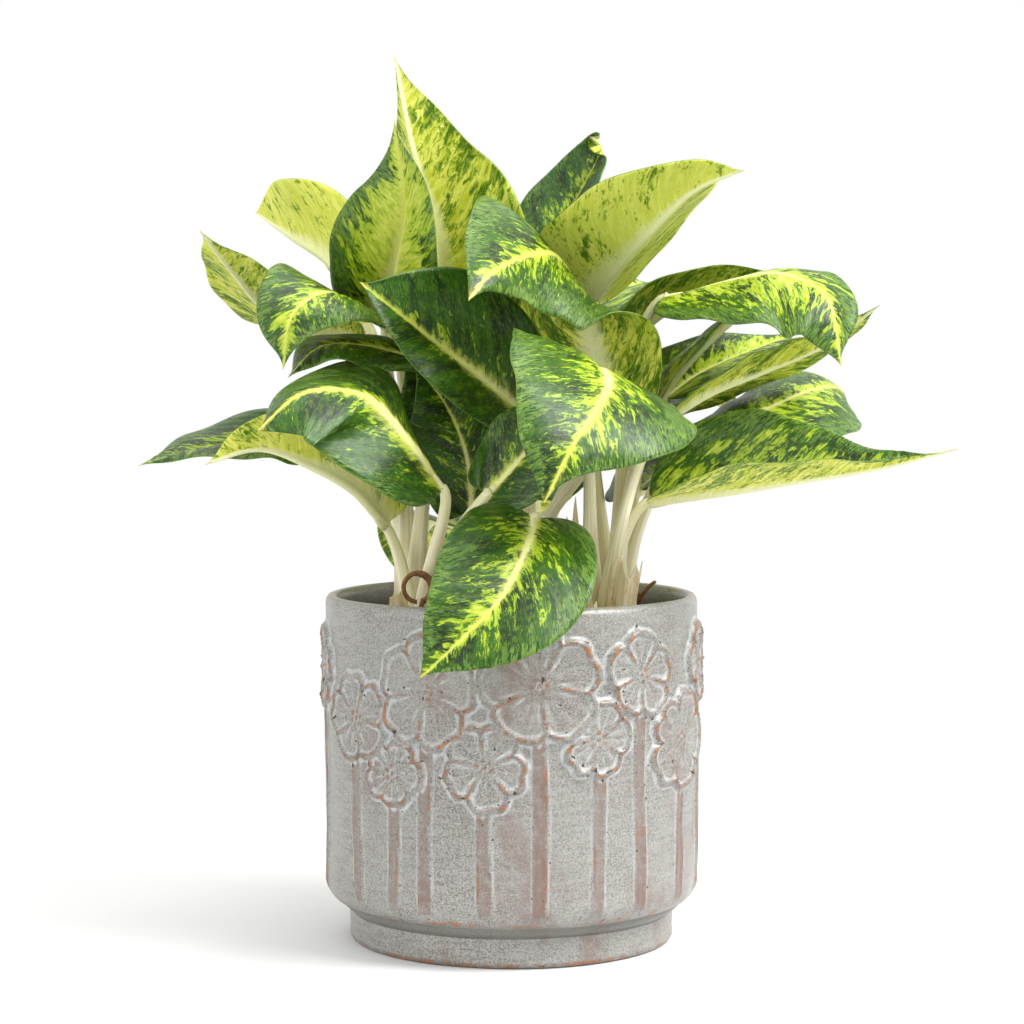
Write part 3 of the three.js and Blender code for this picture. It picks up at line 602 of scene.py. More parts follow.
def bladeShape(plan, seed):
    draw = np.random.default_rng(seed)
    rows, columns = blade["rows"], 2 * blade["halfColumns"] + 1
    share = (1 - np.cos(np.linspace(0, math.pi, rows))) / 2
    spread = np.linspace(-1, 1, columns)
    across = np.sign(spread) * np.abs(spread) ** 1.3
    route, length = curveThrough(plan["rib"])
    faces = smoothFace(plan["face"])

    share, across = np.meshgrid(share, across, indexing="ij")
    along = unitRows(alongRoute(route, share + 0.04) - alongRoute(route, share - 0.04))
    normal = alongRoute(faces, share)
    normal = unitRows(normal - along * np.sum(normal * along, axis=-1, keepdims=True))
    side = np.cross(along, normal)
    right = across >= 0
    reach = np.abs(across)

    def halfOf(key):
        # a pair of values is for the right and the left half
        value = plan.get(key, blade.get(key))
        return np.where(right, *value) if isinstance(value, tuple) else np.full_like(share, value)

    # the cross-section: folded up at the rib, curled down to the margin, lobes at the base
    start = np.radians(halfOf("fold"))
    turn = -np.radians(halfOf("curl"))
    end = start + turn * reach
    wide = widthShare(share, halfOf("taper"))
    half = np.maximum(halfOf("half") * wide, blade["neck"] * (1 - share) + blade["tip"])
    out = (np.sin(end) - np.sin(start)) / turn * half
    rise = (np.cos(start) - np.cos(end)) / turn * half
    nearBase = np.clip(1 - share / blade["widestAt"], 0, 1) ** 1.5
    back = halfOf("lobe") * reach ** 1.3 * nearBase * np.minimum(wide * 1.5, 1)
    ahead = halfOf("sweep") * reach ** 1.6 * np.sin(share * math.pi) * np.clip((share - 0.05) * 4, 0, 1)

    # side veins, the quilting between them, waves at the margin and a slow swell
    fromRib = across * half
    forward = share * length + ahead - back
    veinAt = forward - blade["veinLean"] * np.abs(fromRib) - blade["veinCurve"] * fromRib ** 2
    shift = draw.uniform(0, blade["veinGap"])
    phase = (veinAt + np.where(right, 0, blade["veinGap"] * 0.4) + shift) / blade["veinGap"]
    fromVein = (phase - np.round(phase)) * blade["veinGap"]
    fade = easeBetween(np.abs(fromRib), 0.5, 4) * (1 - easeBetween(reach, 0.82, 1))
    quilt = blade["quilt"] * (0.5 - 0.5 * np.cos(2 * math.pi * phase))
    dip = -blade["veinDip"] * bumpAlong(fromVein, blade["veinWidth"]) + quilt
    waveShift = draw.uniform(0, 6.28, 2)
    waveAt = 2 * math.pi * forward / blade["waveGap"] + np.where(right, waveShift[0], waveShift[1])
    calm = easeBetween(share, 0.05, 0.2) * (1 - easeBetween(share, 0.85, 1))
    wave = halfOf("wave") * reach ** 3 * np.sin(waveAt) * calm
    swell = blade["swell"] * np.sin(forward / 13 + waveShift[0]) * np.sin(fromRib / 9 + waveShift[1]) * fade

    middle = alongRoute(route, share) + side * np.where(right, out, -out)[..., None]
    middle = middle + normal * (rise + wave + swell)[..., None] + along * (ahead - back)[..., None]
    ribWidth = 1.5 * (1 - share) + 0.45
    groove = blade["ribGroove"] * (1 - 0.7 * share) * bumpAlong(fromRib, ribWidth * 0.8)
    keel = blade["keel"] * (1 - share) ** 0.8 * bumpAlong(fromRib, ribWidth)
    thick = blade["marginThickness"] + (blade["thickness"] - blade["marginThickness"]) * (1 - reach ** 4)
    thick = thick * (1 - 0.45 * easeBetween(share, 0.9, 1))
    facing = unitRows(np.cross(np.gradient(middle, axis=1), np.gradient(middle, axis=0)))
    upper = middle + facing * (thick / 2 + dip * fade - groove)[..., None]
    under = middle - facing * (thick / 2 + keel + groove * 0.3 - dip * fade * 0.6)[..., None]

    place = np.tile(np.arange(2 * columns), rows - 1)
    skins = ((place >= columns) & (place < 2 * columns - 1)).astype(int)
    skins = np.concatenate([skins, np.zeros(2 * (columns - 1), dtype=int)])
    flatAcross, flatAlong = 0.24 + 0.22 * across, 0.02 + 0.96 * share
    flatUpper = np.stack([flatAcross, flatAlong], -1)
    flatUnder = np.stack([flatAcross + 0.5, flatAlong], -1)[:, ::-1]
    dry = halfOf("dry")
    return {
        "points": np.concatenate([upper, under[:, ::-1]], axis=1).reshape(-1, 3),
        "faces": stripFaces(rows, columns),
        "skins": skins,
        "flat": np.concatenate([flatUpper, flatUnder], axis=1).reshape(-1, 2),
        "marks": {
            "veinPlace": bothFaces([fromRib, veinAt, np.full_like(share, seed * 7.3)]),
            "bladePlace": bothFaces([across, share, bumpAlong(fromVein, 0.55) * fade]),
            "leafTone": bothFaces([halfOf("green"), halfOf("warm"), halfOf("mint")]),
            "leafEdge": bothFaces([dry, dry, dry]),
        },
    }


def pieceName(node):
    words = node.split("_")
    return words[0] + "".join(word.title() for word in words[1:])


for seed, (node, plan) in enumerate(leafPlans.items(), start=1):
    makePiece(pieceName(node), bladeShape(plan, seed), bladeSkins, [node])
print("leaves grown:", len(leafPlans))


# Stalks and canes

stalk = {
    "sides": 20, "steps": 44,
    "tipRadius": 1.9, "footRadius": 4.1, "bend": 0.14, "gap": 0.3,
    "intoBlade": 5, "tailFrom": 0.004, "tailTo": 0.07,  # steps under the blade, as shares of its rib
    "channel": 0.24, "sheathTop": 0.45, "sheathWide": 0.35,
    "ivory": screenColour(226, 218, 172),
    "cream": screenColour(244, 238, 210),
    "greenish": screenColour(206, 212, 132),
    "tan": screenColour(186, 142, 86),
    "brown": screenColour(150, 98, 52),
}

cane = {
    "sides": 28, "steps": 40, "depth": 24,
    "bark": screenColour(150, 118, 72),
    "ring": screenColour(104, 70, 40),
    "moss": screenColour(120, 128, 70),
}

shootPlans = {
    "left_front": {"at": (-35, -22), "radius": 6.5, "height": 9},
    "left_back": {"at": (-37, 8), "radius": 7, "height": 8},
    "middle": {"at": (-6, 14), "radius": 7, "height": 10},
    "right_front": {"at": (31, -23), "radius": 7.5, "height": 10},
    "right_back": {"at": (37, 10), "radius": 7, "height": 8},
    "back": {"at": (2, 40), "radius": 7, "height": 8},
}


def stalkMaterial():
    material = startMaterial("stalkIvory")
    place = markAt("stalkPlace")
    height = splitUp(place)[1]
    strand = cloudy(place, 1.0, 3, 0.6, stretch=(11, 1.6, 1))
    stain = cloudy(place, 1.0, 4, 0.65, stretch=(2.5, 4.5, 1), shift=(4, 1, 6))
    fine = cloudy(place, 1.0, 2, stretch=(38, 7, 1), shift=(2, 2, 2))
    colour = mixed(ease(strand, 0.35, 0.65), stalk["ivory"], stalk["cream"])
    colour = mixed(ease(height, 0.6, 1.0, 0, 0.45), colour, stalk["greenish"])
    lowDown = ease(calc("ADD", height, times(stain, 0.3)), 0.42, 0.16)
    colour = mixed(times(lowDown, 0.6), colour, stalk["tan"])
    streaks = times(ease(fine, 0.6, 0.72), ease(height, 0.6, 0.1))
    finishWith({
        "Base Color": mixed(times(streaks, 0.5), colour, stalk["brown"]),
        "Roughness": ease(fine, 0.3, 0.7, 0.36, 0.52),
        "Normal": raised(strand, 0.4, 0.5),
        "Subsurface Weight": 0.12,
        "Subsurface Radius": (1.0, 0.9, 0.5),
        "Subsurface Scale": 0.0015,
    })
    return material


def caneMaterial():
    material = startMaterial("caneBark")
    place = markAt("stalkPlace")
    rings = cloudy(place, 1.0, 4, 0.7, stretch=(2, 16, 1))
    blotch = cloudy(place, 1.0, 4, 0.7, stretch=(6, 6, 1), shift=(3, 3, 3))
    colour = mixed(ease(rings, 0.35, 0.65), cane["bark"], cane["ring"])
    finishWith({
        "Base Color": mixed(ease(blotch, 0.55, 0.7), colour, cane["moss"]),
        "Roughness": ease(blotch, 0.3, 0.7, 0.6, 0.85),
        "Normal": raised(rings, 0.7, 1.0),
    })
    return material


def carriedFrames(route):
    # directions across a route that turn with it and never twist
    along = unitRows(np.gradient(route, axis=0))
    first = np.cross(along[0], (0.3, 1.0, 0.1))
    normals = [first / np.linalg.norm(first)]
    for index in range(1, len(route)):
        kept = normals[-1] - along[index] * np.dot(normals[-1], along[index])
        normals.append(kept / np.linalg.norm(kept))
    normals = np.array(normals)
    return normals, np.cross(along, normals)


def sweptShape(route, radiusAt, sides, seed, skin=0, sectionAt=None):
    # a round or shaped section carried along a route, closed at both ends
    steps = len(route)
    normals, others = carriedFrames(route)
    turn = fullTurn(sides)
    share = np.linspace(0, 1, steps)
    grow = np.array([radiusAt(value) for value in share])[:, None] * np.ones(sides)
    if sectionAt is not None:
        grow = grow * sectionAt(share[:, None], turn[None, :])
    points = (
        route[:, None, :]
        + normals[:, None, :] * (np.cos(turn) * grow)[..., None]
        + others[:, None, :] * (np.sin(turn) * grow)[..., None]
    ).reshape(-1, 3)
    faces = [*ringFaces(steps, sides), np.arange(sides)[::-1], np.arange(sides) + (steps - 1) * sides]
    marks = np.stack([
        np.tile(0.5 + 0.5 * np.cos(turn), steps),
        np.repeat(share, sides),
        np.full(steps * sides, seed * 3.7),
    ], axis=1)
    return {"points": points, "faces": faces, "skins": [skin] * len(faces), "marks": {"stalkPlace": marks}}


def bezierRoute(start, leave, arrive, end, count):
    step = np.linspace(0, 1, 300)[:, None]
    keep = 1 - step
    start, leave, arrive, end = (np.array(point, dtype=float) for point in (start, leave, arrive, end))
    route = keep ** 3 * start + 3 * keep ** 2 * step * leave + 3 * keep * step ** 2 * arrive + step ** 3 * end
    return evenly(route, count)[0]


def stalkShape(plan, shoot, seed):
    rib, _ = curveThrough(plan["rib"])
    along = unitRows(rib[2] - rib[0])
    end = rib[0] - along * stalk["gap"]
    at = np.array(shoot["at"], dtype=float)
    lean = end[:2] - at
    lean = lean / np.linalg.norm(lean) * min(np.linalg.norm(lean), shoot["radius"] * 0.55)
    foot = np.array([at[0] + lean[0], at[1] + lean[1], soilTop + 1])
    rise = np.linalg.norm(end - foot)
    leave = foot + np.array([0, 0, rise * 0.5])
    arrive = end - along * rise * stalk["bend"]
    # the last stretch runs on under the blade and becomes its keel
    tailShares = np.linspace(stalk["tailFrom"], stalk["tailTo"], stalk["intoBlade"])
    tail = alongRoute(rib, tailShares) - alongRoute(smoothFace(plan["face"]), tailShares) * 0.9
    route = np.vstack([bezierRoute(foot, leave, arrive, end, stalk["steps"]), tail])
    bulge = np.random.default_rng(seed).uniform(0, 6.28)
    flare = stalk["footRadius"] - stalk["tipRadius"]

    def radiusAt(share):
        near = min(max((share - 0.9) / 0.1, 0), 1)
        return (stalk["tipRadius"] + flare * (1 - share) ** 1.7) * (1 - 0.45 * near * near)

    def sectionAt(share, turn):
        groove = np.exp(-((np.cos(turn / 2 - bulge / 2) / 0.32) ** 2)) * easeBetween(share, 0.1, 0.5)
        sheath = easeBetween(stalk["sheathTop"] - share, 0, 0.3) * stalk["sheathWide"]
        ribs = 1 + 0.02 * np.sin(turn * 7 + bulge)
        return (1 - stalk["channel"] * groove) * (1 + sheath * np.cos(turn - bulge) ** 2) * ribs

    return sweptShape(route, radiusAt, stalk["sides"], seed, 0, sectionAt)


def caneShape(shoot, seed):
    steps = cane["steps"]
    heights = np.linspace(soilTop - cane["depth"], soilTop + shoot["height"], steps)
    route = np.stack([np.full(steps, shoot["at"][0]), np.full(steps, shoot["at"][1]), heights], axis=1)

    def radiusAt(share):
        dome = 1 - 0.55 * max(share - 0.86, 0) / 0.14
        return shoot["radius"] * 0.96 * dome * (1 + 0.05 * math.cos(share * 46))

    return sweptShape(route, radiusAt, cane["sides"], seed, 1)


stalkSkins = [stalkMaterial(), caneMaterial()]
for seed, (name, shoot) in enumerate(shootPlans.items(), start=60):
    shapes = [caneShape(shoot, seed)]
    for index, plan in enumerate(plan for plan in leafPlans.values() if plan["shoot"] == name):
        shapes.append(stalkShape(plan, shoot, seed * 10 + index))
    makePiece(pieceName("shoot_" + name), joinShapes(shapes), stalkSkins, ["shoot_" + name])
print("stalks grown:", len(shootPlans))


# Pot: turned profile with raised flowers on their stems, under a speckled reactive glaze

pot = {
    "height": 130, "radius": 70, "wall": 5, "floor": 10,
    "footRadius": 61, "footHeight": 14,
    "columns": 512, "bandStep": 0.82,
    "stemHalf": 2.3, "stemRise": 0.5, "stemEdge": 0.5,
    "petals": 5, "petalRise": 1.1, "lineRise": 1.1, "lineWidth": 0.9,
    "splitRise": 0.6, "creaseRise": 0.22, "dotRise": 0.75, "dotRing": 2.6, "dotWidth": 0.85,
}

glaze = {
    "dark": screenColour(100, 96, 92),
    "grey": screenColour(150, 148, 142),
    "pale": screenColour(192, 191, 184),
    "brushed": screenColour(164, 164, 158),
    "cool": screenColour(146, 149, 144),
    "mauve": screenColour(118, 98, 88),
    "pooled": screenColour(200, 206, 208),
    "rust": screenColour(98, 60, 34),
    "copper": screenColour(160, 102, 46),
    "pit": screenColour(46, 32, 26),
    # inside: a darker grey painted on the inner wall as its shade
    "inside": screenColour(84, 84, 76),
}

# angle round from the front, height, radius, turn of the petals
flowers = [
    (-80, 104, 15, 10), (-53, 88, 17, -12), (-37, 70, 12.5, 25), (-26, 100, 20.5, 8), (-8, 74, 15.5, 30),
    (8, 103, 22.5, -8), (26, 83, 13.5, 14), (41, 105, 15.5, 0), (61, 79, 19, 20), (78, 106, 15, -16),
]


def flowerField(radius, turnDeg, across, up):
    # height, rust on the ridges and inside share of one flower
    petals = pot["petals"]
    reach = np.hypot(across, up)
    angle = np.arctan2(across, up) - math.radians(turnDeg)
    lobes = np.abs(np.cos(petals / 2 * angle)) ** 0.42
    petal = angle * petals / (2 * math.pi)
    notch = 0.05 * bumpAlong((petal - np.round(petal)) + 0.06 * math.sin(radius), 0.12)
    ragged = 1 + 0.05 * np.sin(2 * angle + radius) + 0.02 * np.sin(11 * angle + radius)
    outline = radius * (0.72 + 0.3 * lobes - notch) * ragged
    share = reach / outline
    line = bumpAlong((share - 0.95) * outline, pot["lineWidth"])
    between = petal - 0.5
    between = (between - np.round(between)) * 2 * math.pi / petals
    split = bumpAlong(np.abs(np.sin(between)) * reach, 0.8)
    split = split * easeBetween(share, 0.25, 0.5) * (1 - easeBetween(share, 0.95, 1.05))
    crease = np.cos(angle * 3 * petals + radius) * easeBetween(share, 0.2, 0.4)
    crease = crease * (1 - easeBetween(share, 0.6, 0.92))
    # a ring of six dots round a seventh
    dots = np.zeros_like(reach)
    for index in range(7):
        turn = index * 2 * math.pi / 6 + radius
        far = 0 if index == 6 else pot["dotRing"]
        fromDot = np.hypot(across - far * math.sin(turn), up - far * math.cos(turn))
        dots = np.maximum(dots, bumpAlong(fromDot, pot["dotWidth"]))
    dish = pot["petalRise"] * (0.55 + 0.45 * share ** 2) - 0.3 * bumpAlong(reach, radius * 0.25)
    height = dish + pot["lineRise"] * line + pot["splitRise"] * split
    height = height + pot["creaseRise"] * crease + pot["dotRise"] * dots
    inside = 1 - easeBetween(share, 1.0, 1.0 + 1.6 / radius)
    rust = np.clip(line * (0.55 + 0.45 * np.sin(angle * 3 + radius)) + 0.45 * split + 1.1 * dots, 0, 1)
    return height, rust * inside, inside


def potFields(angle, z):
    # relief height, rust and mauve tint over the outer wall
    height, rust, mauve = np.zeros_like(angle), np.zeros_like(angle), np.zeros_like(angle)

    def acrossFrom(at):
        return np.radians((angle - at + 540) % 360 - 180) * pot["radius"]

    everyFlower = [(at + half, up, radius, turn) for half in (0, 180) for at, up, radius, turn in flowers]
    for at, up, radius, turn in everyFlower:
        across = acrossFrom(at) + 0.5 * np.sin(z / 17 + at)
        below = 1 - easeBetween(z, up - 2, up)
        edge = pot["stemHalf"] * (1 + 0.08 * np.sin(z / 9 + at))
        band = 1 - easeBetween(np.abs(across), edge - 0.9, edge + 0.7)
        border = bumpAlong(np.abs(across) - edge + 0.3, 0.6) * below
        height = np.maximum(height, below * band * pot["stemRise"] + pot["stemEdge"] * border)
        side = 0.5 + 0.5 * np.sign(across) * math.sin(at * 1.7)
        rust = np.maximum(rust, border * (0.25 + 0.6 * side) * (0.6 + 0.4 * np.sin(z / 6 + at * 2)))
        mauve = np.maximum(mauve, band * below)
    # the flowers overlap in a mixed order
    for at, up, radius, turn in sorted(everyFlower, key=lambda flower: (flower[2] * 37) % 11):
        flowerHeight, flowerRust, inside = flowerField(radius, turn, acrossFrom(at), z - up)
        height = height * (1 - inside) + flowerHeight * inside
        rust = rust * (1 - inside) + flowerRust
        mauve = mauve * (1 - inside) + 0.25 * inside
    body = easeBetween(z, pot["footHeight"] + 4, pot["footHeight"] + 9) * (1 - easeBetween(z, 123, 127))
    return height * body, rust * body, mauve * body


def blurred(field, times):
    for _ in range(times):
        field = (np.roll(field, 1, 1) + field + np.roll(field, -1, 1)) / 3
        padded = np.vstack([field[:1], field, field[-1:]])
        field = (padded[:-2] + padded[1:-1] + padded[2:]) / 3
    return field


def potProfile():
    # radius and height from the middle of the foot, up the outside and down the inside
    ledge, top, radius, foot = pot["footHeight"], pot["height"], pot["radius"], pot["footRadius"]
    inner, floor = radius - pot["wall"], pot["floor"]
    start = [(0, 0), (30, 0), (foot - 4, 0), (foot - 2, 0.05), (foot - 0.7, 0.5), (foot, 1.6)]
    start += [(foot + 0.15 * math.sin(z), z) for z in (3, 5, 7, 9, 11, 12.5)]
    start += [(foot + 0.3, ledge - 0.3), (foot + 1.5, ledge + 0.6), (foot + 3.5, ledge + 1.4)]
    start += [(radius - 3.2, ledge + 2.2), (radius - 2.2, ledge + 3.2), (radius - 1.3, ledge + 4.4)]
    start += [(radius - 0.7, ledge + 5.8), (radius - 0.35, ledge + 7.4)]
    bands = np.arange(ledge + 9, top - 4, pot["bandStep"])
    wallRows = [(radius - 0.12 * bumpAlong(z - ledge - 9, 3), z) for z in bands]
    end = [(radius, top - 3.6), (radius - 0.1, top - 2.6), (radius - 0.5, top - 1.5), (radius - 1.2, top - 0.6)]
    end += [(radius - pot["wall"] / 2, top - 0.15), (inner + 1.2, top - 0.6), (inner + 0.4, top - 1.5)]
    end += [(inner, top - 3)] + [(inner - 0.004 * (top - z), z) for z in range(122, 20, -8)]
    end += [(inner - 1, floor + 4), (inner - 4, floor + 1), (50, floor), (0, floor)]
    return np.array(start + wallRows + end), len(start), len(wallRows)


def potShape():
    profile, first, count = potProfile()
    rows, columns = len(profile), pot["columns"]
    angle = np.linspace(0, 360, columns, endpoint=False)
    turn = np.radians(np.tile(angle, (rows, 1)))
    radius = np.repeat(profile[:, :1], columns, axis=1)
    z = np.repeat(profile[:, 1:], columns, axis=1)
    relief, rust, mauve = np.zeros_like(z), np.zeros_like(z), np.zeros_like(z)
    band = slice(first - 3, first + count + 2)
    relief[band], rust[band], mauve[band] = potFields(np.degrees(turn[band]), z[band])
    # thrown walls are never quite round or even
    hand = 0.18 * np.sin(turn * 3 + z / 19) + 0.12 * np.sin(turn * 7 - z / 11)
    hand = hand + 0.07 * np.sin(turn * 2 + z / 3.1)
    row = np.arange(rows)[:, None]
    radius = radius + relief + np.where((row < first + count + 4) & (radius > 40), hand, 0)

    # rust on crests, the ledge, the rim and the heel, pale glaze pooled in hollows
    crest = np.clip((relief - blurred(relief, 3)) * 3, 0, 1)
    hollow = np.clip((blurred(relief, 2) - relief) * 3.2, 0, 1)
    rust = np.clip(rust * (0.25 + 1.1 * crest) + 0.1 * crest, 0, 1)
    ledge = bumpAlong(z - pot["footHeight"] - 3.0, 1.3) * (radius > 65)
    ledge = ledge * (0.5 + 0.5 * np.sin(turn * 5) * np.sin(turn * 11 + 2))
    rim = bumpAlong(z - pot["height"] + 0.9, 0.8) * (0.35 + 0.3 * np.sin(turn * 4 + 1))
    heel = bumpAlong(z - 1.0, 1.0) * (radius > 58) * 0.8
    rust = np.clip(rust + 0.9 * ledge + rim + heel, 0, 1)
    # the inner wall, where the glaze is painted darker as shade
    inner = (row > first + count + 7) * np.ones(columns)
    down = np.repeat(np.linspace(0, 1, rows)[:, None], columns, 1)
    return {
        "points": roundAbout(radius, turn, z).reshape(-1, 3),
        "faces": ringFaces(rows, columns),
        "flat": np.stack([np.tile(angle / 360, (rows, 1)), down], -1).reshape(-1, 2),
        "marks": {
            "glazeRelief": np.stack([rust, hollow, mauve], -1).reshape(-1, 3),
            "glazePlace": np.stack([turn * 70, z, inner], -1).reshape(-1, 3),
        },
    }


def glazeMaterial():
    material = startMaterial("reactiveGlaze")
    place = objectPlace()
    rust, pool, mauve = splitUp(markAt("glazeRelief"))
    inner = splitUp(markAt("glazePlace"))[2]
    speckle = cloudy(place, 1500, 3, 0.7)
    fineSpeckle = cloudy(place, 2600, 2, 0.7, shift=(3, 2, 1))
    brushed = cloudy(place, 1, 3, 0.6, stretch=(90, 90, 620))
    drift = cloudy(place, 46, 4, 0.6, 0.4, stretch=(1, 1, 0.4))
    broad = cloudy(place, 17, 3, 0.5)
    breakUp = cloudy(place, 300, 3, 0.65)
    pits = cloudy(place, 420, 1, 0.5, shift=(7, 1, 4))

    grey = mixed(ease(speckle, 0.42, 0.58), glaze["dark"], glaze["grey"])
    grey = mixed(ease(fineSpeckle, 0.56, 0.68, 0, 0.7), grey, glaze["pale"])
    grey = mixed(ease(brushed, 0.42, 0.62, 0, 0.3), grey, glaze["brushed"])
    grey = mixed(ease(broad, 0.38, 0.66, 0, 0.3), grey, glaze["cool"])
    tint = scaled(mauve, 0.6, ease(drift, 0.46, 0.66, 0, 0.55))
    tint = times(tint, ease(breakUp, 0.25, 0.6, 0.5, 1.0))
    colour = mixed(ease(tint, 0, 1), grey, glaze["mauve"])
    pooled = times(ease(pool, 0.2, 0.9), ease(breakUp, 0.3, 0.6, 0.15, 0.6))
    colour = mixed(pooled, colour, glaze["pooled"])
    rusty = times(ease(rust, 0.2, 0.6), ease(breakUp, 0.42, 0.58, 0.12, 1.0))
    copper = mixed(ease(breakUp, 0.46, 0.64), glaze["rust"], glaze["copper"])
    colour = mixed(times(rusty, 0.85), colour, copper)
    hole = times(ease(pits, 0.7, 0.74), ease(calc("ADD", rust, pool), 0.1, 0.5, 0.1, 1))
    colour = mixed(hole, colour, glaze["pit"])
    normal = raised(drift, 0.3, 0.8, raised(speckle, 0.18, 0.12))
    # the inner wall turns darker grey: painted shade inside the pot
    finishWith({
        "Base Color": mixed(times(inner, 0.65), colour, glaze["inside"]),
        "Roughness": ease(speckle, 0.35, 0.65, 0.3, 0.46),
        "Normal": raised(times(hole, -1.0), 0.6, 0.4, normal),
        "Coat Weight": 0.25,
        "Coat Roughness": 0.22,
    })
    return material


makePiece("glazedPot", potShape(), [glazeMaterial()], ["pot"])
print("pot turned and glazed")


# Nursery pot and potting mix, seen from above and over the rim

growPot = {
    "top": 118, "bottom": 10.3, "baseRadius": 46, "topRadius": 57, "rimRadius": 60,
    "wall": 1.5, "rimDepth": 6, "drain": 6, "columns": 128,
    "black": screenColour(34, 31, 29),
    "dust": screenColour(92, 78, 62),
}


def growPotShape():
    top, bottom, wall, columns = growPot["top"], growPot["bottom"], growPot["wall"], growPot["columns"]
    base, upper = growPot["baseRadius"], growPot["topRadius"]
    rim, drain = growPot["rimRadius"], growPot["drain"]
    rimFoot = top - growPot["rimDepth"]
    profile = np.array([
        (drain, bottom), (44, bottom), (base, bottom + 1), (upper - 0.2, rimFoot), (rim - 0.5, rimFoot + 0.1),
        (rim, rimFoot + 0.8), (rim, top - 0.9), (rim - 0.4, top - 0.2), (rim - 1.2, top),
        (upper - wall + 0.6, top), (upper - wall, top - 0.8), (base - wall, bottom + wall + 0.6),
        (43, bottom + wall), (drain, bottom + wall),
    ])
    radius = profile[:, :1] * np.ones(columns)
    points = roundAbout(radius, fullTurn(columns), np.repeat(profile[:, 1:], columns, 1))
    # the last ring joins the first again at the drain hole
    closing = ringFaces(2, columns)
    closing = np.where(closing >= columns, closing - columns, closing + (len(profile) - 1) * columns)
    faces = np.concatenate([ringFaces(len(profile), columns), closing])
    return {"points": points.reshape(-1, 3), "faces": faces, "marks": {}}


def growPlasticMaterial():
    material = startMaterial("growPotPlastic")
    place = objectPlace()
    dust = cloudy(place, 140, 4, 0.65)
    scuff = cloudy(place, 160, 3, 0.6, stretch=(1, 1, 7))
    finishWith({
        "Base Color": mixed(ease(dust, 0.5, 0.75, 0, 0.6), growPot["black"], growPot["dust"]),
        "Roughness": ease(scuff, 0.35, 0.65, 0.38, 0.6),
        "Normal": raised(scuff, 0.2, 0.15),
    })
    return material


soil = {
    "radius": 55, "bottom": 95, "sag": 3.2, "rings": 90, "columns": 200,
    "chips": 260, "chipSize": (0.7, 2.0), "gritShare": 0.22,
    "dark": screenColour(34, 24, 18), "brown": screenColour(84, 62, 44),
    "bark": screenColour(104, 70, 44), "darkBark": screenColour(58, 40, 28),
    "grit": screenColour(206, 202, 190),
}


def lump(centre, size, draw):
    # a small rough crumb of bark or white grit
    rings, sides = 5, 7
    polar, turn = np.meshgrid(np.linspace(0, math.pi, rings), fullTurn(sides), indexing="ij")
    stretch = draw.uniform(0.55, 1.25, 3) * size
    rough = 1 + draw.uniform(-0.22, 0.22, polar.shape)
    ball = np.stack([np.sin(polar) * np.cos(turn), np.sin(polar) * np.sin(turn), np.cos(polar)], -1)
    ball = ball * rough[..., None]
    ball[0], ball[-1] = (0, 0, 1), (0, 0, -1)
    return ball.reshape(-1, 3) * stretch + centre, ringFaces(rings, sides)[:, ::-1]


def soilShape():
    draw = np.random.default_rng(5)
    rings, columns = soil["rings"], soil["columns"]
    share, turn = np.meshgrid(np.linspace(0.02, 1, rings) ** 0.7, fullTurn(columns), indexing="ij")
    radius = share * soil["radius"]
    z = soilTop - soil["sag"] * share ** 2.2 + draw.normal(0, 0.32, radius.shape)
    z = z + 0.5 * np.sin(turn * 6 + radius / 5) * np.sin(radius / 4)
    top = roundAbout(radius, turn, z)
    skirt = top[-1:].copy()
    skirt[..., 2] = soil["bottom"]
    points = np.concatenate([top, skirt]).reshape(-1, 3)
    around = np.arange(columns)
    faces = [*ringFaces(rings + 1, columns)[:, ::-1], around, around[::-1] + rings * columns]
    shapes = [{"points": points, "faces": faces, "marks": {"crumb": np.zeros((len(points), 3))}}]
    for index in range(soil["chips"]):
        far, way = 52 * math.sqrt(draw.uniform(0, 1)), draw.uniform(0, 2 * math.pi)
        size = draw.uniform(*soil["chipSize"])
        height = soilTop - soil["sag"] * (far / soil["radius"]) ** 2.2 + size * 0.25
        chip, chipFaces = lump((far * math.sin(way), far * math.cos(way), height), size, draw)
        grit = 1.0 if draw.uniform() < soil["gritShare"] else 0.0
        marks = np.tile((1.0, grit, draw.uniform()), (len(chip), 1))
        shapes.append({"points": chip, "faces": chipFaces, "marks": {"crumb": marks}})
    return joinShapes(shapes)


def soilMaterial():
    material = startMaterial("pottingMix")
    place = objectPlace()
    loose, grit, odd = splitUp(markAt("crumb"))
    coarse = cloudy(place, 420, 5, 0.75)
    fine = cloudy(place, 1500, 3, 0.7)
    colour = mixed(ease(coarse, 0.35, 0.65), soil["dark"], soil["brown"])
    bark = mixed(odd, soil["bark"], soil["darkBark"])
    colour = mixed(times(loose, 0.8), colour, bark)
    finishWith({
        "Base Color": mixed(grit, colour, soil["grit"]),
        "Roughness": ease(fine, 0.3, 0.7, 0.75, 0.98),
        "Normal": raised(fine, 0.6, 0.5, raised(coarse, 0.8, 1.0)),
    })
    return material


makePiece("growPot", growPotShape(), [growPlasticMaterial()], ["nursery_pot"])
makePiece("pottingMix", soilShape(), [soilMaterial()], ["soil"])
print("grow pot and potting mix in place")


# Dry growth: a woody curl at the left, a twig at the right and torn sheaths round the stalks

dryWood = {"depth": 11, "dark": screenColour(84, 52, 30), "light": screenColour(168, 118, 72)}
dryCurl = {"at": (-34, -37), "ringHeight": 135, "ringRadius": 5.3, "thick": 0.8}
dryTwig = {"at": (45, -18), "thick": 0.75, "top": 137, "spurs": [(0.55, 1), (0.78, -1)], "spurThick": 0.5}


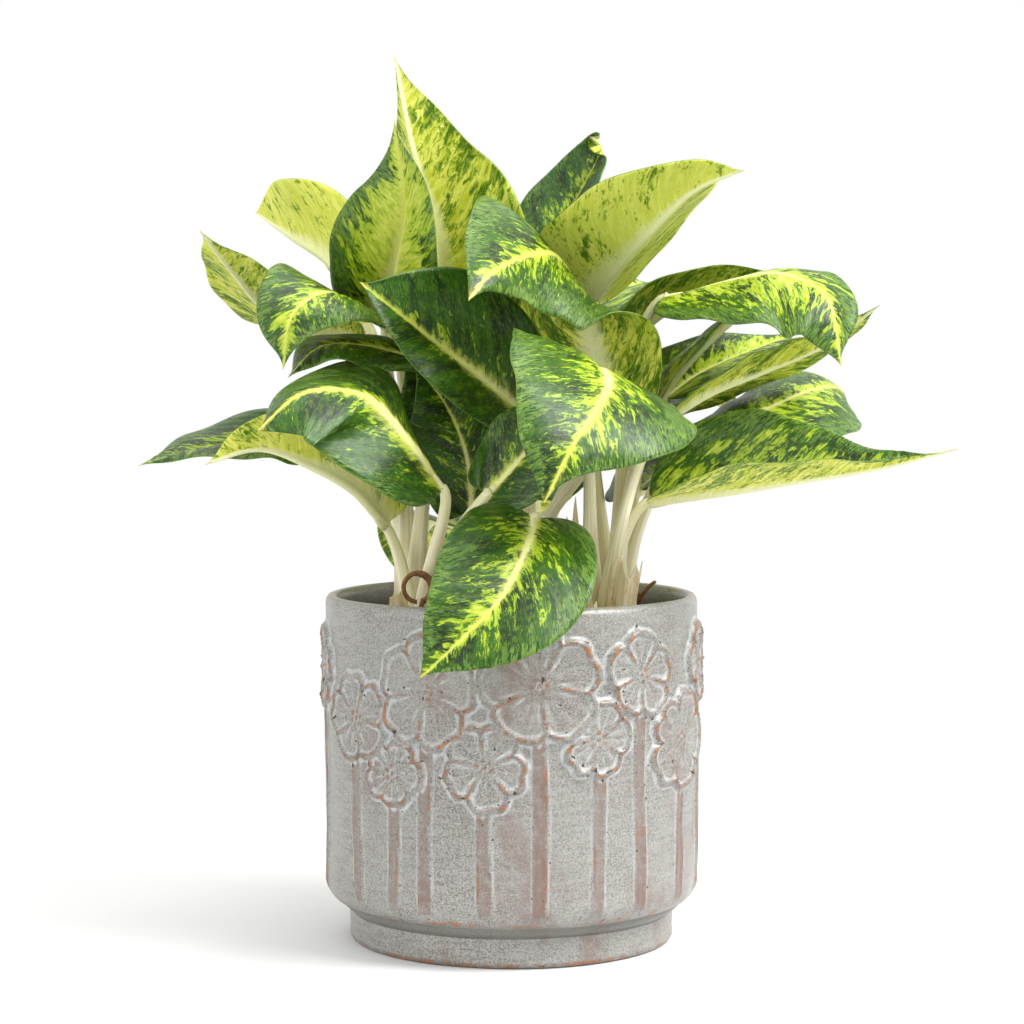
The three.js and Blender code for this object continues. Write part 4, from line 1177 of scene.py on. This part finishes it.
def dryMaterial():
    material = startMaterial("dryWood")
    fibre = cloudy(markAt("stalkPlace"), 1.0, 4, 0.7, stretch=(9, 20, 1))
    finishWith({
        "Base Color": mixed(ease(fibre, 0.35, 0.65), dryWood["dark"], dryWood["light"]),
        "Roughness": ease(fibre, 0.3, 0.7, 0.5, 0.8),
        "Normal": raised(fibre, 0.7, 0.6),
    })
    return material


def flatSection(share, turn):
    return 1 + 0.3 * np.cos(turn) ** 2 + 0.07 * np.sin(turn * 5 + share * 40)


def dryCurlShape():
    x, y = dryCurl["at"]
    top, ring, thick = dryCurl["ringHeight"], dryCurl["ringRadius"], dryCurl["thick"]
    stem = bezierRoute(
        (x, y, soilTop - dryWood["depth"]), (x, y, soilTop + 8),
        (x - 0.6, y, soilTop + 14), (x + 1.5, y, top - ring), 40,
    )
    turn = np.linspace(math.radians(280), math.radians(280 + 345), 70)
    loop = np.stack([x + ring * np.cos(turn), y + 1.2 * np.sin(turn / 2), top + ring * np.sin(turn)], axis=1)
    arm = bezierRoute(
        (x + 2, y, top - ring + 0.4), (x + 6, y + 0.4, top - 2),
        (x + 5, y + 0.5, top + 4), (x - 1, y, top + ring - 0.4), 40,
    )
    return joinShapes([
        sweptShape(stem, lambda share: thick * (1.1 - 0.2 * share), 12, 901, 0, flatSection),
        sweptShape(loop, lambda share: thick * (1.05 - 0.25 * share), 12, 902, 0, flatSection),
        sweptShape(arm, lambda share: thick * 0.75, 12, 903, 0, flatSection),
    ])


def dryTwigShape():
    x, y = dryTwig["at"]
    route = bezierRoute(
        (x, y, soilTop - dryWood["depth"]), (x, y, soilTop + 8),
        (x - 2, y - 8, soilTop + 22), (x + 7, y - 19, dryTwig["top"]), 60,
    )
    shapes = [sweptShape(route, lambda share: dryTwig["thick"] * (1.2 - 0.5 * share), 10, 911, 0, flatSection)]

    def spurRadius(share):
        return dryTwig["spurThick"] * (1 - 0.6 * share)

    for share, way in dryTwig["spurs"]:
        start = alongRoute(route, np.array([share]))[0]
        tip = start + np.array([2.4 * way, 0.6, 2.2])
        reach = tip - start
        spur = bezierRoute(start, start + reach * 0.4, start + reach * 0.7 + (0, 0, 0.5), tip, 10)
        shapes.append(sweptShape(spur, spurRadius, 8, 912, 0, flatSection))
    return joinShapes(shapes)


# foot of each sheath, its radius, height, lean to the right and how far round it reaches in degrees
sheath = {
    "rows": 26, "columns": 22, "thick": 0.35, "low": 106,
    "places": [
        {"at": (38, -28), "radius": 5.6, "high": 149, "lean": 0.1, "reach": 105},
        {"at": (27, -33), "radius": 5.0, "high": 136, "lean": -0.05, "reach": 90},
        {"at": (25, -12), "radius": 3.4, "high": 168, "lean": 0.0, "reach": 150},
        {"at": (-31, -29), "radius": 5.2, "high": 127, "lean": -0.08, "reach": 95},
        {"at": (-40, -20), "radius": 4.8, "high": 133, "lean": -0.12, "reach": 80},
    ],
    "tan": screenColour(214, 194, 144),
    "cream": screenColour(236, 224, 188),
    "stain": screenColour(176, 124, 72),
}


def sheathShape(plan, seed):
    draw = np.random.default_rng(seed)
    rows, columns, low = sheath["rows"], sheath["columns"], sheath["low"]
    share, across = np.meshgrid(np.linspace(0, 1, rows), np.linspace(-1, 1, columns), indexing="ij")
    torn = np.interp(np.linspace(-1, 1, columns), np.linspace(-1, 1, 9), draw.uniform(0.72, 1.0, 9))
    z = low + (plan["high"] - low) * share * (1 - (1 - torn) * share)
    turn = np.radians(plan["reach"]) * across * (1 - 0.5 * share ** 1.5)
    swell = 1 + 0.1 * np.sin(share * 5 + seed) + 0.25 * share ** 3 + 0.06 * np.sin(across * 9 + seed)
    x, y = plan["at"]
    shift = np.stack([x + plan["lean"] * (z - low), np.full_like(z, y), np.zeros_like(z)], axis=-1)
    inner = roundAbout(plan["radius"] * swell, turn, z) + shift
    outer = roundAbout(plan["radius"] * swell + sheath["thick"], turn, z) + shift
    return {
        "points": np.concatenate([outer, inner[:, ::-1]], axis=1).reshape(-1, 3),
        "faces": stripFaces(rows, columns),
        "marks": {"stalkPlace": bothFaces([across * 1.6, share, np.full_like(share, seed * 2.9)])},
    }


def sheathMaterial():
    material = startMaterial("paperySheath")
    place = markAt("stalkPlace")
    strand = cloudy(place, 1.0, 4, 0.65, stretch=(9, 1.2, 1))
    stain = cloudy(place, 1.0, 4, 0.65, stretch=(1.6, 3, 1), shift=(2, 6, 1))
    colour = mixed(ease(strand, 0.35, 0.65), sheath["tan"], sheath["cream"])
    finishWith({
        "Base Color": mixed(ease(stain, 0.5, 0.7, 0, 0.7), colour, sheath["stain"]),
        "Roughness": ease(strand, 0.3, 0.7, 0.55, 0.75),
        "Normal": raised(strand, 0.6, 0.4),
    })
    return material


woodSkin = dryMaterial()
makePiece("dryCurl", dryCurlShape(), [woodSkin], ["dry_curl"])
makePiece("dryTwig", dryTwigShape(), [woodSkin], ["dry_twig"])
sheathShapes = [sheathShape(plan, seed) for seed, plan in enumerate(sheath["places"], start=71)]
makePiece("tornSheaths", joinShapes(sheathShapes), [sheathMaterial()], [])
print("dry growth in place")


# Floor, light and camera, in metres

studio = {
    "floorSize": 12.0, "floor": screenColour(224, 224, 224), "floorPale": screenColour(232, 232, 232),
    "worldLight": 1.0, "fadeFrom": 0.13, "fadeTo": 0.3,
    "lights": [
        {"name": "keyLight", "at": (0.95, -0.4, 1.2), "size": 0.85, "power": 34},
        {"name": "topLight", "at": (-0.15, 0.25, 1.5), "size": 0.9, "power": 7},
        {"name": "fillLight", "at": (-0.95, -0.95, 0.75), "size": 1.1, "power": 6.5},
    ],
    "aim": (0, 0, 0.17),
}
cameraPlan = {"at": (0, -0.99, 0.217), "tiltDown": 3.28, "lens": 92.6, "sensor": 36}


def makeFloor():
    half = studio["floorSize"] / 2
    corners = [(-half, -half, 0), (half, -half, 0), (half, half, 0), (-half, half, 0)]
    mesh = bpy.data.meshes.new("floor")
    mesh.from_pydata(corners, [], [(0, 1, 2, 3)])
    floor = bpy.data.objects.new("floor", mesh)
    bpy.context.scene.collection.objects.link(floor)
    mesh.materials.append(startMaterial("paleFloor"))
    place = objectPlace()
    tone = cloudy(place, 3, 2, 0.5)
    colour = mixed(ease(tone, 0.3, 0.7, 0, 0.04), studio["floor"], studio["floorPale"])
    # away from the pot the floor glows white, painted light that melts it into the white room and fades the
    # cast shadow out
    away = addNode("VectorMath", {0: place}, operation="LENGTH").outputs["Value"]
    floorGlow = ease(away, studio["fadeFrom"], studio["fadeTo"])
    finishWith({
        "Base Color": mixed(floorGlow, colour, (0, 0, 0, 1)),
        "Emission Color": (1, 1, 1, 1),
        "Emission Strength": times(floorGlow, studio["worldLight"]),
        "Roughness": 0.9,
        "Specular IOR Level": 0.0,
    })


def makeLights():
    world = bpy.data.worlds.new("softRoom")
    world.use_nodes = True
    world.node_tree.nodes["Background"].inputs["Color"].default_value = (1, 1, 1, 1)
    world.node_tree.nodes["Background"].inputs["Strength"].default_value = studio["worldLight"]
    bpy.context.scene.world = world
    for plan in studio["lights"]:
        lamp = bpy.data.lights.new(plan["name"], "AREA")
        lamp.size = plan["size"]
        lamp.energy = plan["power"]
        holder = bpy.data.objects.new(plan["name"], lamp)
        holder.location = plan["at"]
        aim = np.array(studio["aim"]) - np.array(plan["at"])
        flat = math.hypot(aim[0], aim[1])
        holder.rotation_euler = (math.atan2(flat, -aim[2]), 0, math.atan2(aim[1], aim[0]) - math.pi / 2)
        bpy.context.scene.collection.objects.link(holder)


def makeCamera():
    camera = bpy.data.objects.new("camera", bpy.data.cameras.new("camera"))
    camera.location = cameraPlan["at"]
    camera.rotation_euler = (math.radians(90 - cameraPlan["tiltDown"]), 0, 0)
    camera.data.lens = cameraPlan["lens"]
    camera.data.sensor_width = cameraPlan["sensor"]
    bpy.context.scene.collection.objects.link(camera)
    bpy.context.scene.camera = camera


makeFloor()
makeLights()
makeCamera()
bpy.context.scene.view_settings.view_transform = "Standard"
print("studio ready")
